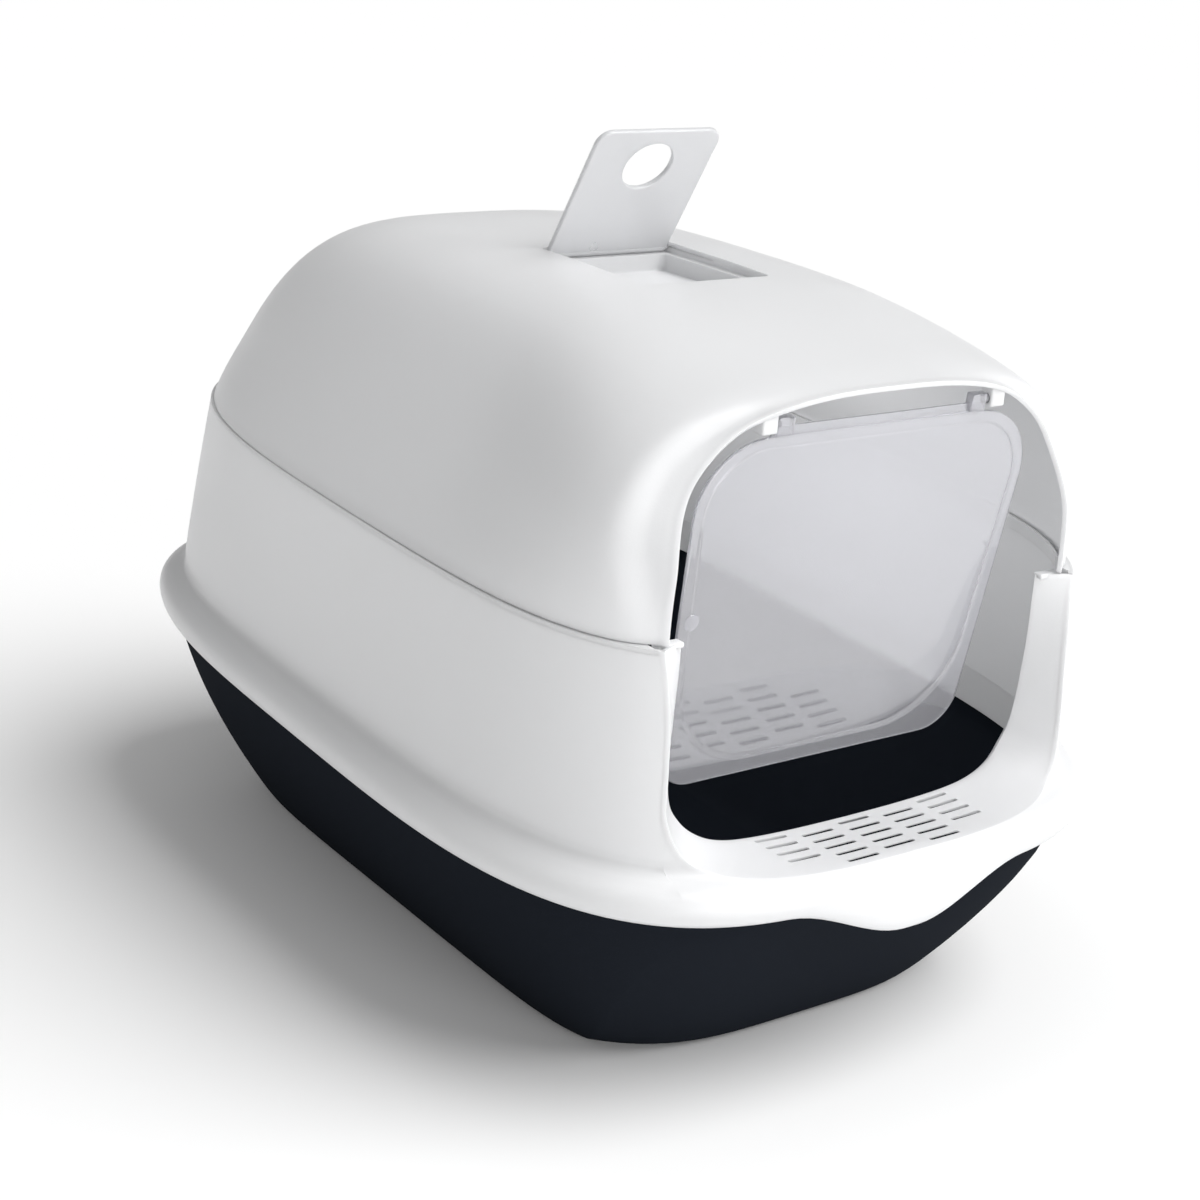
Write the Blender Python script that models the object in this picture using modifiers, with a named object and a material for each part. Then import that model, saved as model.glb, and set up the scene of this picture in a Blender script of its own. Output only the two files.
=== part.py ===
"""Hooded cat litter box: a tapered tray, a two-piece hood, a hanging flap door and a fold-down handle.

Metres, +Z up, the entry faces -Y. The origin is at the centre of the footprint, on the floor.
"""

import math

import bmesh
import bpy
from mathutils import Matrix, Vector

# Overall
LENGTH = 0.560
WIDTH = 0.390
DOME_TOP = 0.3676
WALL = 0.0025
FIT_GAP = 0.0004

# The hood's rim, and the seam between its two shells, both rise towards the back
RIM_HEIGHT = 0.1166
SEAM_HEIGHT = 0.2449
RISE = 0.037
PLAN_POWER = 3.9
RIM_POWER = 3.6
SEAM_BACK_POWER = 3.15

# Tray
TRAY_TOP_INSET = 0.0085
TRAY_FLOOR_INSET = 0.072
TRAY_TOP_POWER = 3.7
TRAY_FLOOR_POWER = 6.2
TRAY_BEAD = 0.0022
TRAY_TOP_SHARE = 0.935
TRAY_FOOT_SHARE = 0.085
TRAY_FOOT_INSET = 0.0570
TRAY_BULGE = 0.004
TRAY_STAND = 0.0074
PANEL_HALF_WIDTH = 0.130
PANEL_CORNER_WIDTH = 0.106

# Lower hood
SKIRT_WALL_INSET = 0.0168
SEAM_INSET = 0.0212
LEDGE = 0.0020
SPIGOT_HEIGHT = 0.005
SPIGOT_LEAN = 0.0016
SPIGOT_FRONT_Y = -0.200
TONGUE_DEPTH = 0.0195
TONGUE_FLARE = 0.0024
TONGUE_FLAT = 0.004
TONGUE_END = 0.076

# Entry frame
ENTRY_HALF_WIDTH = 0.1145
ENTRY_SILL = 0.1270
ENTRY_RADIUS = 0.038
ENTRY_DEPTH_Y = -0.2225
FLARE_HALF_WIDTH = 0.1285
FLARE_SILL = 0.1250
FLARE_RADIUS = 0.036
FLARE_LAP = 0.0009

# Step slots
SLOT_LENGTH = 0.0200
SLOT_WIDTH = 0.0032
SLOT_PITCH = 0.0266
SLOT_ROW = 0.00844
SLOT_REACH = 0.0048
SLOT_FIRST_Y = -0.2291
SLOT_COLUMNS = ((4, -0.05), (5, 0.42), (5, 0.0), (5, 0.42), (4, -0.05))

# Visor and dome
VISOR_HALF_WIDTH = 0.1253
VISOR_TOP = 0.3455
VISOR_Y = -0.2294
VISOR_BOW = 0.0084
DOME_BACK = 0.2570
DOME_BACK_POWER = 3.14

# Flap door
DOOR_AXIS_Y = -0.218
DOOR_AXIS_Z = 0.332
DOOR_TILT = math.radians(8.4)
DOOR_THICK = 0.0022
DOOR_HALF_WIDTH = 0.1045
DOOR_FOOT_HALF_WIDTH = 0.0985
DOOR_DROP = 0.1905
DOOR_TOP_GAP = 0.0016
DOOR_SHOULDER = 0.0369
DOOR_SHOULDER_DROP = 0.0066
DOOR_FOOT_RADIUS = 0.022
PIN_RADIUS = 0.0022
PIN_CLEARANCE = 0.0005
LUG_X = (0.0560, 0.0660)
CLIP_X = (0.0675, 0.0765)
CLIP_HALF_DEPTH = 0.0042
CLIP_DROP = 0.0040
CLIP_RISE = 0.0055

# Fold-down handle and its seat in the roof
HANDLE_AXIS_Y = 0.0130
HANDLE_AXIS_Z = 0.3644
HANDLE_LEAN = math.radians(31)
HANDLE_HALF_WIDTH = 0.0397
HANDLE_LENGTH = 0.0835
HANDLE_THICK = 0.0030
HANDLE_BARREL = 0.0021
HANDLE_PIN_RADIUS = 0.0013
HANDLE_CORNER = 0.0085
HANDLE_HOLE_RADIUS = 0.0160
HANDLE_HOLE_AT = 0.0602
SEAT_GAP = 0.0015
SEAT_FRONT_GAP = 0.0075
SEAT_DEPTH = 0.0026
POCKET_HALF_WIDTH = 0.031
POCKET_FRONT_Y = -0.037
POCKET_BACK_Y = 0.0085
POCKET_FLOOR = 0.3525

# Fineness of the faceted solids
FRONT_SHARES = (0.84, 0.76, 0.67, 0.58, 0.49, 0.415, 0.35, 0.29, 0.235, 0.18, 0.12, 0.06, 0.0)
QUARTER_STEPS = 10
PANEL_STEPS = 8
TRAY_LEVELS = 5

parts = bpy.data.collections.new("cat_litter_box")
cutters = bpy.data.collections.new("cutters")


def clear_scene():
    """Removes whatever the scene starts with."""
    for found in list(bpy.data.objects):
        bpy.data.objects.remove(found)
    bpy.context.scene.collection.children.link(parts)
    bpy.context.scene.collection.children.link(cutters)
    cutters.hide_render = True


def plastic(name, colour, roughness, alpha=1.0):
    """A moulded plastic material."""
    made = bpy.data.materials.new(name)
    made.use_nodes = True
    shader = made.node_tree.nodes["Principled BSDF"]
    shader.inputs["Base Color"].default_value = (*colour, 1.0)
    shader.inputs["Roughness"].default_value = roughness
    shader.inputs["Metallic"].default_value = 0.0
    shader.inputs["Alpha"].default_value = alpha
    return made


def object_of(name, mesh_builder, material=None):
    """A part when it has a material, and otherwise a cutter or a piece that is joined to a part."""
    mesh = bpy.data.meshes.new(name)
    bmesh.ops.recalc_face_normals(mesh_builder, faces=mesh_builder.faces)
    mesh_builder.to_mesh(mesh)
    mesh_builder.free()
    made = bpy.data.objects.new(name, mesh)
    if material is None:
        cutters.objects.link(made)
        made.hide_render = True
        made.display_type = "WIRE"
    else:
        parts.objects.link(made)
        mesh.materials.append(material)
    return made


def combine(target, other, operation):
    """Adds or cuts another solid with an exact Boolean."""
    step = target.modifiers.new(other.name, "BOOLEAN")
    step.operation = operation
    step.solver = "EXACT"
    step.object = other


def shade(target):
    """Smooth faces with crisp edges."""
    target.data.shade_smooth()
    target.data.set_sharp_from_angle(angle=math.radians(35))


def smooth_step(value, low, high):
    """0 below low, 1 above high, eased between them."""
    t = min(max((value - low) / (high - low), 0.0), 1.0)
    return t * t * (3 - 2 * t)


def mix(low, high, share):
    """The value that lies a share of the way from low to high."""
    return low + (high - low) * share


def rim_z(y):
    """Height of the hood's lower edge at a distance along the box."""
    return RIM_HEIGHT + RISE * y


def seam_z(y):
    """Height of the seam between the hood's two shells."""
    return SEAM_HEIGHT + RISE * y


def power_curve(half_x, half_y, power, angle):
    """A point on a rounded-rectangle outline."""
    c, s = math.cos(angle), math.sin(angle)
    x = math.copysign(abs(c) ** (2 / power), c) * half_x if abs(c) > 1e-9 else 0.0
    y = math.copysign(abs(s) ** (2 / power), s) * half_y if abs(s) > 1e-9 else 0.0
    return x, y


def outline(inset, back_power=PLAN_POWER, power=PLAN_POWER):
    """The plan of the box, drawn in by an inset, as points round it, closer together across the front."""
    half_x, half_y = WIDTH / 2 - inset, LENGTH / 2 - inset
    back_angles = [math.pi / 2 * i / QUARTER_STEPS for i in range(2 * QUARTER_STEPS)]
    points = [power_curve(half_x, half_y, back_power, angle) for angle in back_angles]
    side_angles = [math.radians(4.5 + 8.0 * i) for i in range(5)]
    front_angles = side_angles + [math.acos(share ** (power / 2)) for share in FRONT_SHARES]
    left = [power_curve(half_x, half_y, power, angle) for angle in [0.0] + front_angles]
    points += [(-x, -y) for x, y in left]
    return points + [(x, -y) for x, y in reversed(left[1:-1])]


def bridge(builder, first, second):
    """Quads between two closed rings with the same number of points."""
    count = len(first)
    for i in range(count):
        j = (i + 1) % count
        builder.faces.new((first[i], first[j], second[j], second[i]))


def strip(builder, first, second):
    """Quads between two open rows with the same number of points."""
    for i in range(len(first) - 1):
        builder.faces.new((first[i], first[i + 1], second[i + 1], second[i]))


def ring_solid(rings, closed_section):
    """A loft through rings, capped at both ends, or joined round into a hollow ring."""
    builder = bmesh.new()
    made = [[builder.verts.new(point) for point in ring] for ring in rings]
    for first, second in zip(made, made[1:]):
        bridge(builder, first, second)
    if closed_section:
        bridge(builder, made[-1], made[0])
    else:
        builder.faces.new(made[0])
        builder.faces.new(made[-1])
    return builder


def box(name, low, high, radius=0.0):
    """A block between two corners, with its upright edges rounded."""
    builder = bmesh.new()
    size = Vector(high) - Vector(low)
    centre = (Vector(low) + Vector(high)) / 2
    bmesh.ops.create_cube(builder, size=1.0, matrix=Matrix.Translation(centre) @ Matrix.Diagonal((*size, 1)))
    if radius:
        upright = [e for e in builder.edges if abs(e.verts[0].co.z - e.verts[1].co.z) > size.z / 2]
        bmesh.ops.bevel(builder, geom=upright, offset=radius, segments=3, profile=0.5, affect="EDGES")
    return object_of(name, builder)


def rod(name, start_x, end_x, y, z, radius, sides=16):
    """A round bar along X."""
    builder = bmesh.new()
    turn = Matrix.Rotation(math.pi / 2, 4, "Y")
    place = Matrix.Translation(((start_x + end_x) / 2, y, z)) @ turn
    bmesh.ops.create_cone(
        builder, cap_ends=True, segments=sides, radius1=radius, radius2=radius,
        depth=abs(end_x - start_x), matrix=place,
    )
    return object_of(name, builder)


def prism(name, points, thickness, frame, material=None):
    """A flat outline given thickness on both sides of its plane, then placed by a matrix."""
    builder = bmesh.new()
    near = [builder.verts.new(frame @ Vector((x, y, -thickness / 2))) for x, y in points]
    far = [builder.verts.new(frame @ Vector((x, y, thickness / 2))) for x, y in points]
    builder.faces.new(near)
    builder.faces.new(far)
    bridge(builder, near, far)
    return object_of(name, builder, material)


def arc(centre_x, centre_y, radius, start, end, steps):
    """Points along an arc, angles in degrees."""
    angles = [math.radians(mix(start, end, i / steps)) for i in range(steps + 1)]
    return [(centre_x + radius * math.cos(a), centre_y + radius * math.sin(a)) for a in angles]


# ---- tray ----------------------------------------------------------------------------------


def tray_ring(share, inset, wall=0.0, floor=0.0):
    """One level of the tray, from the floor (share 0) to its upper edge (share 1), with its flat front panel."""
    power = mix(TRAY_FLOOR_POWER, TRAY_TOP_POWER, share)
    half_x = WIDTH / 2 - TRAY_TOP_INSET - inset - wall
    half_y = LENGTH / 2 - TRAY_TOP_INSET - 0.003 - inset - wall
    panel = min(panel_half_width(share), 0.93 * (half_x + wall)) - wall / 2
    edge = math.acos((panel / half_x) ** (power / 2))
    front_y = half_y * math.sin(edge) ** (2 / power)
    points = []
    for i in range(2 * QUARTER_STEPS):
        points.append(power_curve(half_x, half_y, power, math.pi * i / (2 * QUARTER_STEPS)))
    for i in range(QUARTER_STEPS):
        points.append(power_curve(half_x, half_y, power, math.pi + edge * i / QUARTER_STEPS))
    for i in range(PANEL_STEPS):
        x = mix(-panel, panel, i / PANEL_STEPS)
        points.append((x, -mix(half_y, front_y, abs(x / panel) ** 4)))
    for i in range(QUARTER_STEPS):
        points.append(power_curve(half_x, half_y, power, -edge * (1 - i / QUARTER_STEPS)))
    return [(x, y, floor + share * (rim_z(y) + TRAY_STAND - floor)) for x, y in points]


def panel_half_width(share):
    """Half the width of the tray's front panel, whose upper corners are rounded."""
    low = mix(PANEL_CORNER_WIDTH, PANEL_HALF_WIDTH, smooth_step(share, -0.35, 0.5))
    return mix(low, PANEL_CORNER_WIDTH - 0.008, smooth_step(share, 0.62, 1.05))


def tray_wall(share):
    """(height share, inset) up the tray's slightly bulging wall."""
    bulge = TRAY_BULGE * 4 * share * (1 - share)
    return mix(TRAY_FOOT_SHARE, TRAY_TOP_SHARE, share), mix(TRAY_FOOT_INSET, TRAY_BEAD, share) - bulge


def make_tray(material):
    """The open tray: sloping walls, a rounded foot and a bead that sits in the hood's rim."""
    walls = [tray_wall(i / TRAY_LEVELS) for i in range(TRAY_LEVELS + 1)]
    feet = [(0.010, 0.0665), (0.034, 0.0620)]
    rings = [tray_ring(0.0, TRAY_FLOOR_INSET)]
    rings += [tray_ring(share, inset) for share, inset in feet + walls]
    rings += [tray_ring(0.965, 0.0), tray_ring(1.0, 0.0), tray_ring(1.0, TRAY_BEAD + WALL)]
    slope_wall = WALL * 1.15
    rings.append(tray_ring(TRAY_TOP_SHARE, TRAY_BEAD, slope_wall + 0.0008))
    rings += [tray_ring(share, inset, slope_wall, WALL) for share, inset in reversed(walls[:-1])]
    rings.append(tray_ring(0.020, 0.0622, slope_wall, WALL))
    rings.append(tray_ring(0.0, TRAY_FLOOR_INSET, 0.0, WALL))
    tray = object_of("base_tray", ring_solid(rings, closed_section=False), material)
    shade(tray)
    return tray


# ---- lower hood ----------------------------------------------------------------------------

# (inset from the outermost rim, height over the hood's lower edge), from the edge up to the wall's foot
RIM_OUTSIDE = (
    (0.0047, 0.0), (0.0012, 0.004), (0.0, 0.009), (0.0016, 0.0145), (0.0062, 0.0185),
    (0.0120, 0.0210), (0.0154, 0.0245), (0.0165, 0.0300),
)
RIM_INSIDE = ((0.0195, 0.0080), (0.0170, 0.0080), (0.0168, 0.0165), (0.0105, 0.0180), (0.0062, 0.0160),
              (0.0036, 0.0130), (0.0026, 0.0090), (0.0037, 0.0050), (0.0070, 0.0002))


def tongue_share(x, y, height):
    """How much of the tongue shows at a point of the rim: all of it at the middle of the front's lower edge."""
    if y > 0:
        return 0.0
    return (1 - smooth_step(abs(x), TONGUE_FLAT, TONGUE_END)) * (1 - smooth_step(height, 0.0, 0.0075))


def skirt_ring(inset, height, from_seam=False):
    """A ring of the lower hood, measured up from its lower edge or from the seam."""
    if from_seam:
        return [(x, y, seam_z(y) + height) for x, y in outline(inset, SEAM_BACK_POWER)]
    corner = mix(RIM_POWER, PLAN_POWER, smooth_step(inset, 0.012, SKIRT_WALL_INSET))
    ring = []
    for x, y in outline(inset, corner, corner):
        share = tongue_share(x, y, height)
        ring.append((x, y - TONGUE_FLARE * share, rim_z(y) + height - TONGUE_DEPTH * share))
    return ring


def skirt_rings():
    """Every ring of the lower hood's hollow section, outside first, then down the inside."""
    rings = [skirt_ring(inset, height) for inset, height in RIM_OUTSIDE]
    rings.append(skirt_ring(SEAM_INSET - 0.0002, -0.0015, from_seam=True))
    rings.append(skirt_ring(SEAM_INSET + 0.0008, 0.0, from_seam=True))
    spigot = SEAM_INSET + LEDGE + WALL + FIT_GAP
    rings.append(skirt_ring(spigot, 0.0, from_seam=True))
    rings.append(skirt_ring(spigot + SPIGOT_LEAN, SPIGOT_HEIGHT, from_seam=True))
    rings.append(skirt_ring(spigot + SPIGOT_LEAN + 0.0018, SPIGOT_HEIGHT, from_seam=True))
    rings.append(skirt_ring(spigot + 0.0018, -0.003, from_seam=True))
    rings.append(skirt_ring(SEAM_INSET + WALL, -0.007, from_seam=True))
    rings += [skirt_ring(inset, height) for inset, height in RIM_INSIDE]
    return rings


def front_surface_y(x, z):
    """Where the lower hood's outer face lies at the front, for a place across and a height."""
    y = -LENGTH / 2
    for _ in range(6):
        height = z - rim_z(y)
        inset = wall_inset(height, seam_z(y) - rim_z(y))
        half_x, half_y = WIDTH / 2 - inset, LENGTH / 2 - inset
        y = -half_y * (1 - min(abs(x) / half_x, 0.999) ** PLAN_POWER) ** (1 / PLAN_POWER)
    return y


def wall_inset(height, seam_height):
    """The lower hood's inset at a height over its lower edge."""
    stations = list(RIM_OUTSIDE) + [(SEAM_INSET, seam_height), (SEAM_INSET, seam_height + 1.0)]
    for (low_inset, low), (high_inset, high) in zip(stations, stations[1:]):
        if height <= high:
            return mix(low_inset, high_inset, max(height - low, 0.0) / (high - low))
    return SEAM_INSET


def u_outline(half_width, sill, radius, top):
    """An upright opening with round lower corners, from its upper left down and round to its upper right."""
    right = [(half_width, top), (half_width, mix(sill + radius, top, 0.5))]
    right += arc(half_width - radius, sill + radius, radius, 0, -90, 7)
    right += [(mix(half_width - radius, 0, i / 4), sill) for i in range(1, 4)]
    return [(-x, z) for x, z in right] + [(0.0, sill)] + [(x, z) for x, z in reversed(right)]


def entry_flare():
    """The sloping band between the hood's face and the entry, which widens into the step at the bottom."""
    top = seam_z(ENTRY_DEPTH_Y) + 0.010
    lap = FLARE_LAP
    outer = u_outline(FLARE_HALF_WIDTH + lap, FLARE_SILL, FLARE_RADIUS + lap, top)
    inner = u_outline(ENTRY_HALF_WIDTH, ENTRY_SILL, ENTRY_RADIUS, top)
    builder = bmesh.new()
    front = [builder.verts.new((x, front_surface_y(x, z) + 0.0004, z)) for x, z in outer]
    rear = [builder.verts.new((x, ENTRY_DEPTH_Y, z)) for x, z in inner]
    strip(builder, front, rear)
    flare = object_of("flare", builder)
    sheet = flare.modifiers.new("wall", "SOLIDIFY")
    sheet.thickness = WALL
    sheet.offset = -1
    sheet.use_even_offset = False
    return flare


def entry_cutter():
    """Removes the hood's face inside the flare's outer line."""
    points = u_outline(FLARE_HALF_WIDTH, FLARE_SILL - FLARE_LAP, FLARE_RADIUS, SEAM_HEIGHT + 0.05)
    frame = Matrix.Translation((0, -0.262, 0)) @ Matrix.Rotation(math.pi / 2, 4, "X")
    return prism("entry_cutter", points, 0.120, frame)


def seam_cutter():
    """Levels off the flare at the seam, and ends the spigot behind the visor."""
    builder = bmesh.new()
    half = WIDTH / 2
    rings = []
    for y in (-LENGTH / 2 - 0.01, SPIGOT_FRONT_Y):
        low, high = seam_z(y) - 0.0003, seam_z(y) + 0.03
        rings.append([builder.verts.new(p) for p in ((-half, y, low), (half, y, low), (half, y, high), (-half, y, high))])
    bridge(builder, rings[0], rings[1])
    for ring in rings:
        builder.faces.new(ring)
    return object_of("seam_cutter", builder)


def slot_outline(centre_x, centre_y):
    """A slot with round ends, across the step."""
    half, radius = SLOT_LENGTH / 2 - SLOT_WIDTH / 2, SLOT_WIDTH / 2
    right = arc(centre_x + half, centre_y, radius, -90, 90, 4)
    left = arc(centre_x - half, centre_y, radius, 90, 270, 4)
    return right + left


def slot_cutter():
    """The rows of drain slots in the step, as one cutter."""
    middle = len(SLOT_COLUMNS) // 2
    builder = bmesh.new()
    for column, (rows, shift) in enumerate(SLOT_COLUMNS):
        for row in range(rows):
            x = (column - middle) * SLOT_PITCH
            y = SLOT_FIRST_Y - (row + shift) * SLOT_ROW
            points = slot_outline(x, y)
            low = [builder.verts.new((px, py, FLARE_SILL - SLOT_REACH)) for px, py in points]
            high = [builder.verts.new((px, py, FLARE_SILL + SLOT_REACH)) for px, py in points]
            builder.faces.new(low)
            builder.faces.new(high)
            bridge(builder, low, high)
    return object_of("slot_cutter", builder)


def make_skirt(material):
    """The lower hood: rim, walls, seam spigot, flared entry and slotted step."""
    skirt = object_of("lower_hood", ring_solid(skirt_rings(), closed_section=True), material)
    combine(skirt, entry_cutter(), "DIFFERENCE")
    combine(skirt, entry_flare(), "UNION")
    combine(skirt, seam_cutter(), "DIFFERENCE")
    combine(skirt, slot_cutter(), "DIFFERENCE")
    shade(skirt)
    return skirt


# ---- upper hood ----------------------------------------------------------------------------

# (y, half width at the seam) of the front, from the visor's edge back to the middle
FRONT_STATIONS = (
    (VISOR_Y, VISOR_HALF_WIDTH), (-0.2262, 0.1295), (-0.2232, 0.1350), (-0.2185, 0.1410), (-0.2100, 0.1474),
    (-0.1960, 0.1546), (-0.1740, 0.1619), (-0.1450, 0.1672), (-0.1120, 0.1702), (-0.0740, 0.1717),
    (-0.0350, 0.1723), (0.0, 0.1725),
)
ROOF_LINE = (
    (VISOR_Y, VISOR_TOP), (-0.212, 0.3484), (-0.180, 0.3541), (-0.155, 0.3585), (-0.130, 0.3621),
    (-0.100, 0.3650), (-0.070, 0.3665), (0.0, DOME_TOP),
)
LEVELS = (0.0, 0.06, 0.16, 0.28, 0.42, 0.56, 0.69, 0.80, 0.88, 0.935)
TOP_SHARES = (0.46, 0.36, 0.25, 0.13, 0.0)


def roof_height(y):
    """Height of the roof's centre line."""
    for (near, low), (far, high) in zip(ROOF_LINE, ROOF_LINE[1:]):
        if y <= far:
            return mix(low, high, (y - near) / (far - near))
    return DOME_TOP


def dome_levels():
    """(height share, width share of the body, width share of the visor, depth share of the back) of each level."""
    shares = []
    for height in LEVELS:
        lean = smooth_step(height, 0.0, 0.35)
        shares.append((height, mix(1 - 0.28 * height, (1 - height**0.613) ** (1 / 5.75), lean)))
    for width in TOP_SHARES:
        shares.append(((1 - width**5.75) ** (1 / 0.613), width))
    return [(h, body, (1 - min(h, 1) ** 3) ** (1 / 3), (1 - min(h, 1) ** 1.4) ** (1 / 5)) for h, body in shares]


def dome_row(wall, height, body, visor, back):
    """One level of the upper hood's right half, drawn in by a wall, from the visor round to the middle of the back."""
    row = []
    for y, half_width in FRONT_STATIONS:
        ease = smooth_step(y, VISOR_Y, VISOR_Y + 0.12)
        x = (half_width - wall) * mix(visor, body, ease)
        bulge = smooth_step(height, 0.27, 0.67) * (1 - 0.6 * smooth_step(height, 0.85, 1.0))
        bow = VISOR_BOW * bulge * (1 - smooth_step(y, VISOR_Y, VISOR_Y + 0.03))
        low = seam_z(y) + FIT_GAP
        row.append((x, y + bow, mix(low, roof_height(y) - wall, height)))
    widest = FRONT_STATIONS[-1][1] - wall
    for i in range(1, QUARTER_STEPS + 1):
        angle = math.pi / 2 * i / QUARTER_STEPS
        power = mix(SEAM_BACK_POWER, DOME_BACK_POWER, height)
        x, y = power_curve(widest * body, (DOME_BACK - wall) * back, power, angle)
        z = mix(SEAM_HEIGHT + FIT_GAP, DOME_TOP - wall, height) + RISE * y * (1 - height)
        row.append((x, y, z))
    return row


def dome_skin():
    """The upper hood's wall, mirrored from its right half: an outer and an inner face, joined round the open edge."""
    builder = bmesh.new()
    outer, inner = (
        [[builder.verts.new(point) for point in dome_row(wall, *level)] for level in dome_levels()]
        for wall in (0.0, WALL)
    )
    for rows in (outer, inner):
        for low, high in zip(rows, rows[1:]):
            strip(builder, low, high)
    strip(builder, outer[0], inner[0])
    strip(builder, [row[0] for row in outer], [row[0] for row in inner])
    bmesh.ops.mirror(builder, geom=builder.faces[:], axis="X", merge_dist=0.00005)
    bmesh.ops.remove_doubles(builder, verts=builder.verts, dist=0.00005)
    bmesh.ops.dissolve_degenerate(builder, edges=builder.edges, dist=0.00005)
    return builder


def seat_blocks():
    """The thicker roof round the handle's seat and its finger pocket, from inside."""
    half = HANDLE_HALF_WIDTH + SEAT_GAP
    front = HANDLE_AXIS_Y - HANDLE_LENGTH - SEAT_FRONT_GAP
    floor = HANDLE_AXIS_Z - SEAT_DEPTH
    top = HANDLE_AXIS_Z + 0.0004
    back = HANDLE_AXIS_Y + HANDLE_BARREL + SEAT_GAP
    seat = box("seat_block", (-half - 0.005, front - WALL, floor - WALL), (half + 0.005, back + WALL, top), 0.004)
    pocket = box(
        "pocket_block", (-POCKET_HALF_WIDTH - WALL, POCKET_FRONT_Y - WALL, POCKET_FLOOR - WALL),
        (POCKET_HALF_WIDTH + WALL, POCKET_BACK_Y + WALL, floor), 0.004,
    )
    seat_cut = box("seat_cutter", (-half, front, floor), (half, back, top + 0.03), 0.003)
    pocket_cut = box(
        "pocket_cutter", (-POCKET_HALF_WIDTH, POCKET_FRONT_Y, POCKET_FLOOR),
        (POCKET_HALF_WIDTH, POCKET_BACK_Y, floor + 0.001), 0.004,
    )
    return (seat, pocket), (seat_cut, pocket_cut)


def make_dome(material):
    """The upper hood: dome and visor, the handle's seat and pocket, and the clips that hold the door's pins."""
    dome = object_of("upper_hood", dome_skin(), material)
    blocks, cuts = seat_blocks()
    for block in blocks:
        combine(dome, block, "UNION")
    for side in (-1, 1):
        clip_low = (min(side * CLIP_X[0], side * CLIP_X[1]), DOOR_AXIS_Y - CLIP_HALF_DEPTH, DOOR_AXIS_Z - CLIP_DROP)
        clip_high = (max(side * CLIP_X[0], side * CLIP_X[1]), DOOR_AXIS_Y + CLIP_HALF_DEPTH, DOOR_AXIS_Z + CLIP_RISE)
        combine(dome, box(f"clip_{side}", clip_low, clip_high, 0.0012), "UNION")
    for cut in cuts:
        combine(dome, cut, "DIFFERENCE")
    for side in (-1, 1):
        bore = rod(
            f"clip_bore_{side}", side * (CLIP_X[0] - 0.004), side * (CLIP_X[1] - 0.002),
            DOOR_AXIS_Y, DOOR_AXIS_Z, PIN_RADIUS + PIN_CLEARANCE,
        )
        combine(dome, bore, "DIFFERENCE")
        socket_start = HANDLE_HALF_WIDTH - 0.001
        socket_end = HANDLE_HALF_WIDTH + SEAT_GAP + 0.0028
        socket = rod(
            f"handle_socket_{side}", side * socket_start, side * socket_end,
            HANDLE_AXIS_Y, HANDLE_AXIS_Z, HANDLE_PIN_RADIUS + PIN_CLEARANCE,
        )
        combine(dome, socket, "DIFFERENCE")
    shade(dome)
    return dome


# ---- flap door -----------------------------------------------------------------------------


def door_outline():
    """The door's outline across and down from its hinge axis."""
    right = [(0.0, -DOOR_TOP_GAP), (LUG_X[1] + 0.0006, -DOOR_TOP_GAP)]
    shoulder_x, shoulder_y = DOOR_HALF_WIDTH - DOOR_SHOULDER, -DOOR_SHOULDER_DROP - DOOR_SHOULDER
    right += arc(shoulder_x, shoulder_y, DOOR_SHOULDER, 90, 0, 8)
    foot = DOOR_FOOT_RADIUS
    right += arc(DOOR_FOOT_HALF_WIDTH - foot, -DOOR_DROP + foot, foot, 2, -90, 6)
    return [(x, y) for x, y in right] + [(-x, y) for x, y in reversed(right[1:])]


def door_frame():
    """Turns the flat door outline upright on its axis, leaning inwards at the foot."""
    upright = Matrix.Rotation(math.pi / 2, 4, "X")
    lean = Matrix.Rotation(DOOR_TILT, 4, "X")
    return lean @ upright


def make_door(material):
    """The flap: a thin plate with two lugs whose pins turn in the hood's clips."""
    axis = bpy.data.objects.new("door_axis", None)
    axis.location = (0, DOOR_AXIS_Y, DOOR_AXIS_Z)
    parts.objects.link(axis)
    door = prism("flap_door", door_outline(), DOOR_THICK, door_frame(), material)
    for side in (-1, 1):
        low_x, high_x = sorted((side * LUG_X[0], side * LUG_X[1]))
        lug = box(f"lug_{side}", (low_x, -0.0026, -0.0060), (high_x, 0.0026, 0.0034), 0.0010)
        pin = rod(f"pin_{side}", side * (LUG_X[1] - 0.002), side * (CLIP_X[1] - 0.003), 0, 0, PIN_RADIUS)
        for piece in (lug, pin):
            piece.data.transform(Matrix.Rotation(DOOR_TILT, 4, "X"))
            combine(door, piece, "UNION")
            piece.parent = axis
    door.parent = axis
    shade(door)
    return door


# ---- handle --------------------------------------------------------------------------------


def handle_outline():
    """The handle plate's outline, across and along from its hinge."""
    half, far, corner = HANDLE_HALF_WIDTH, HANDLE_LENGTH, HANDLE_CORNER
    right = [(half, 0.0)] + arc(half - corner, far - corner, corner, 0, 90, 6)
    return right + [(-x, y) for x, y in reversed(right)]


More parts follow.
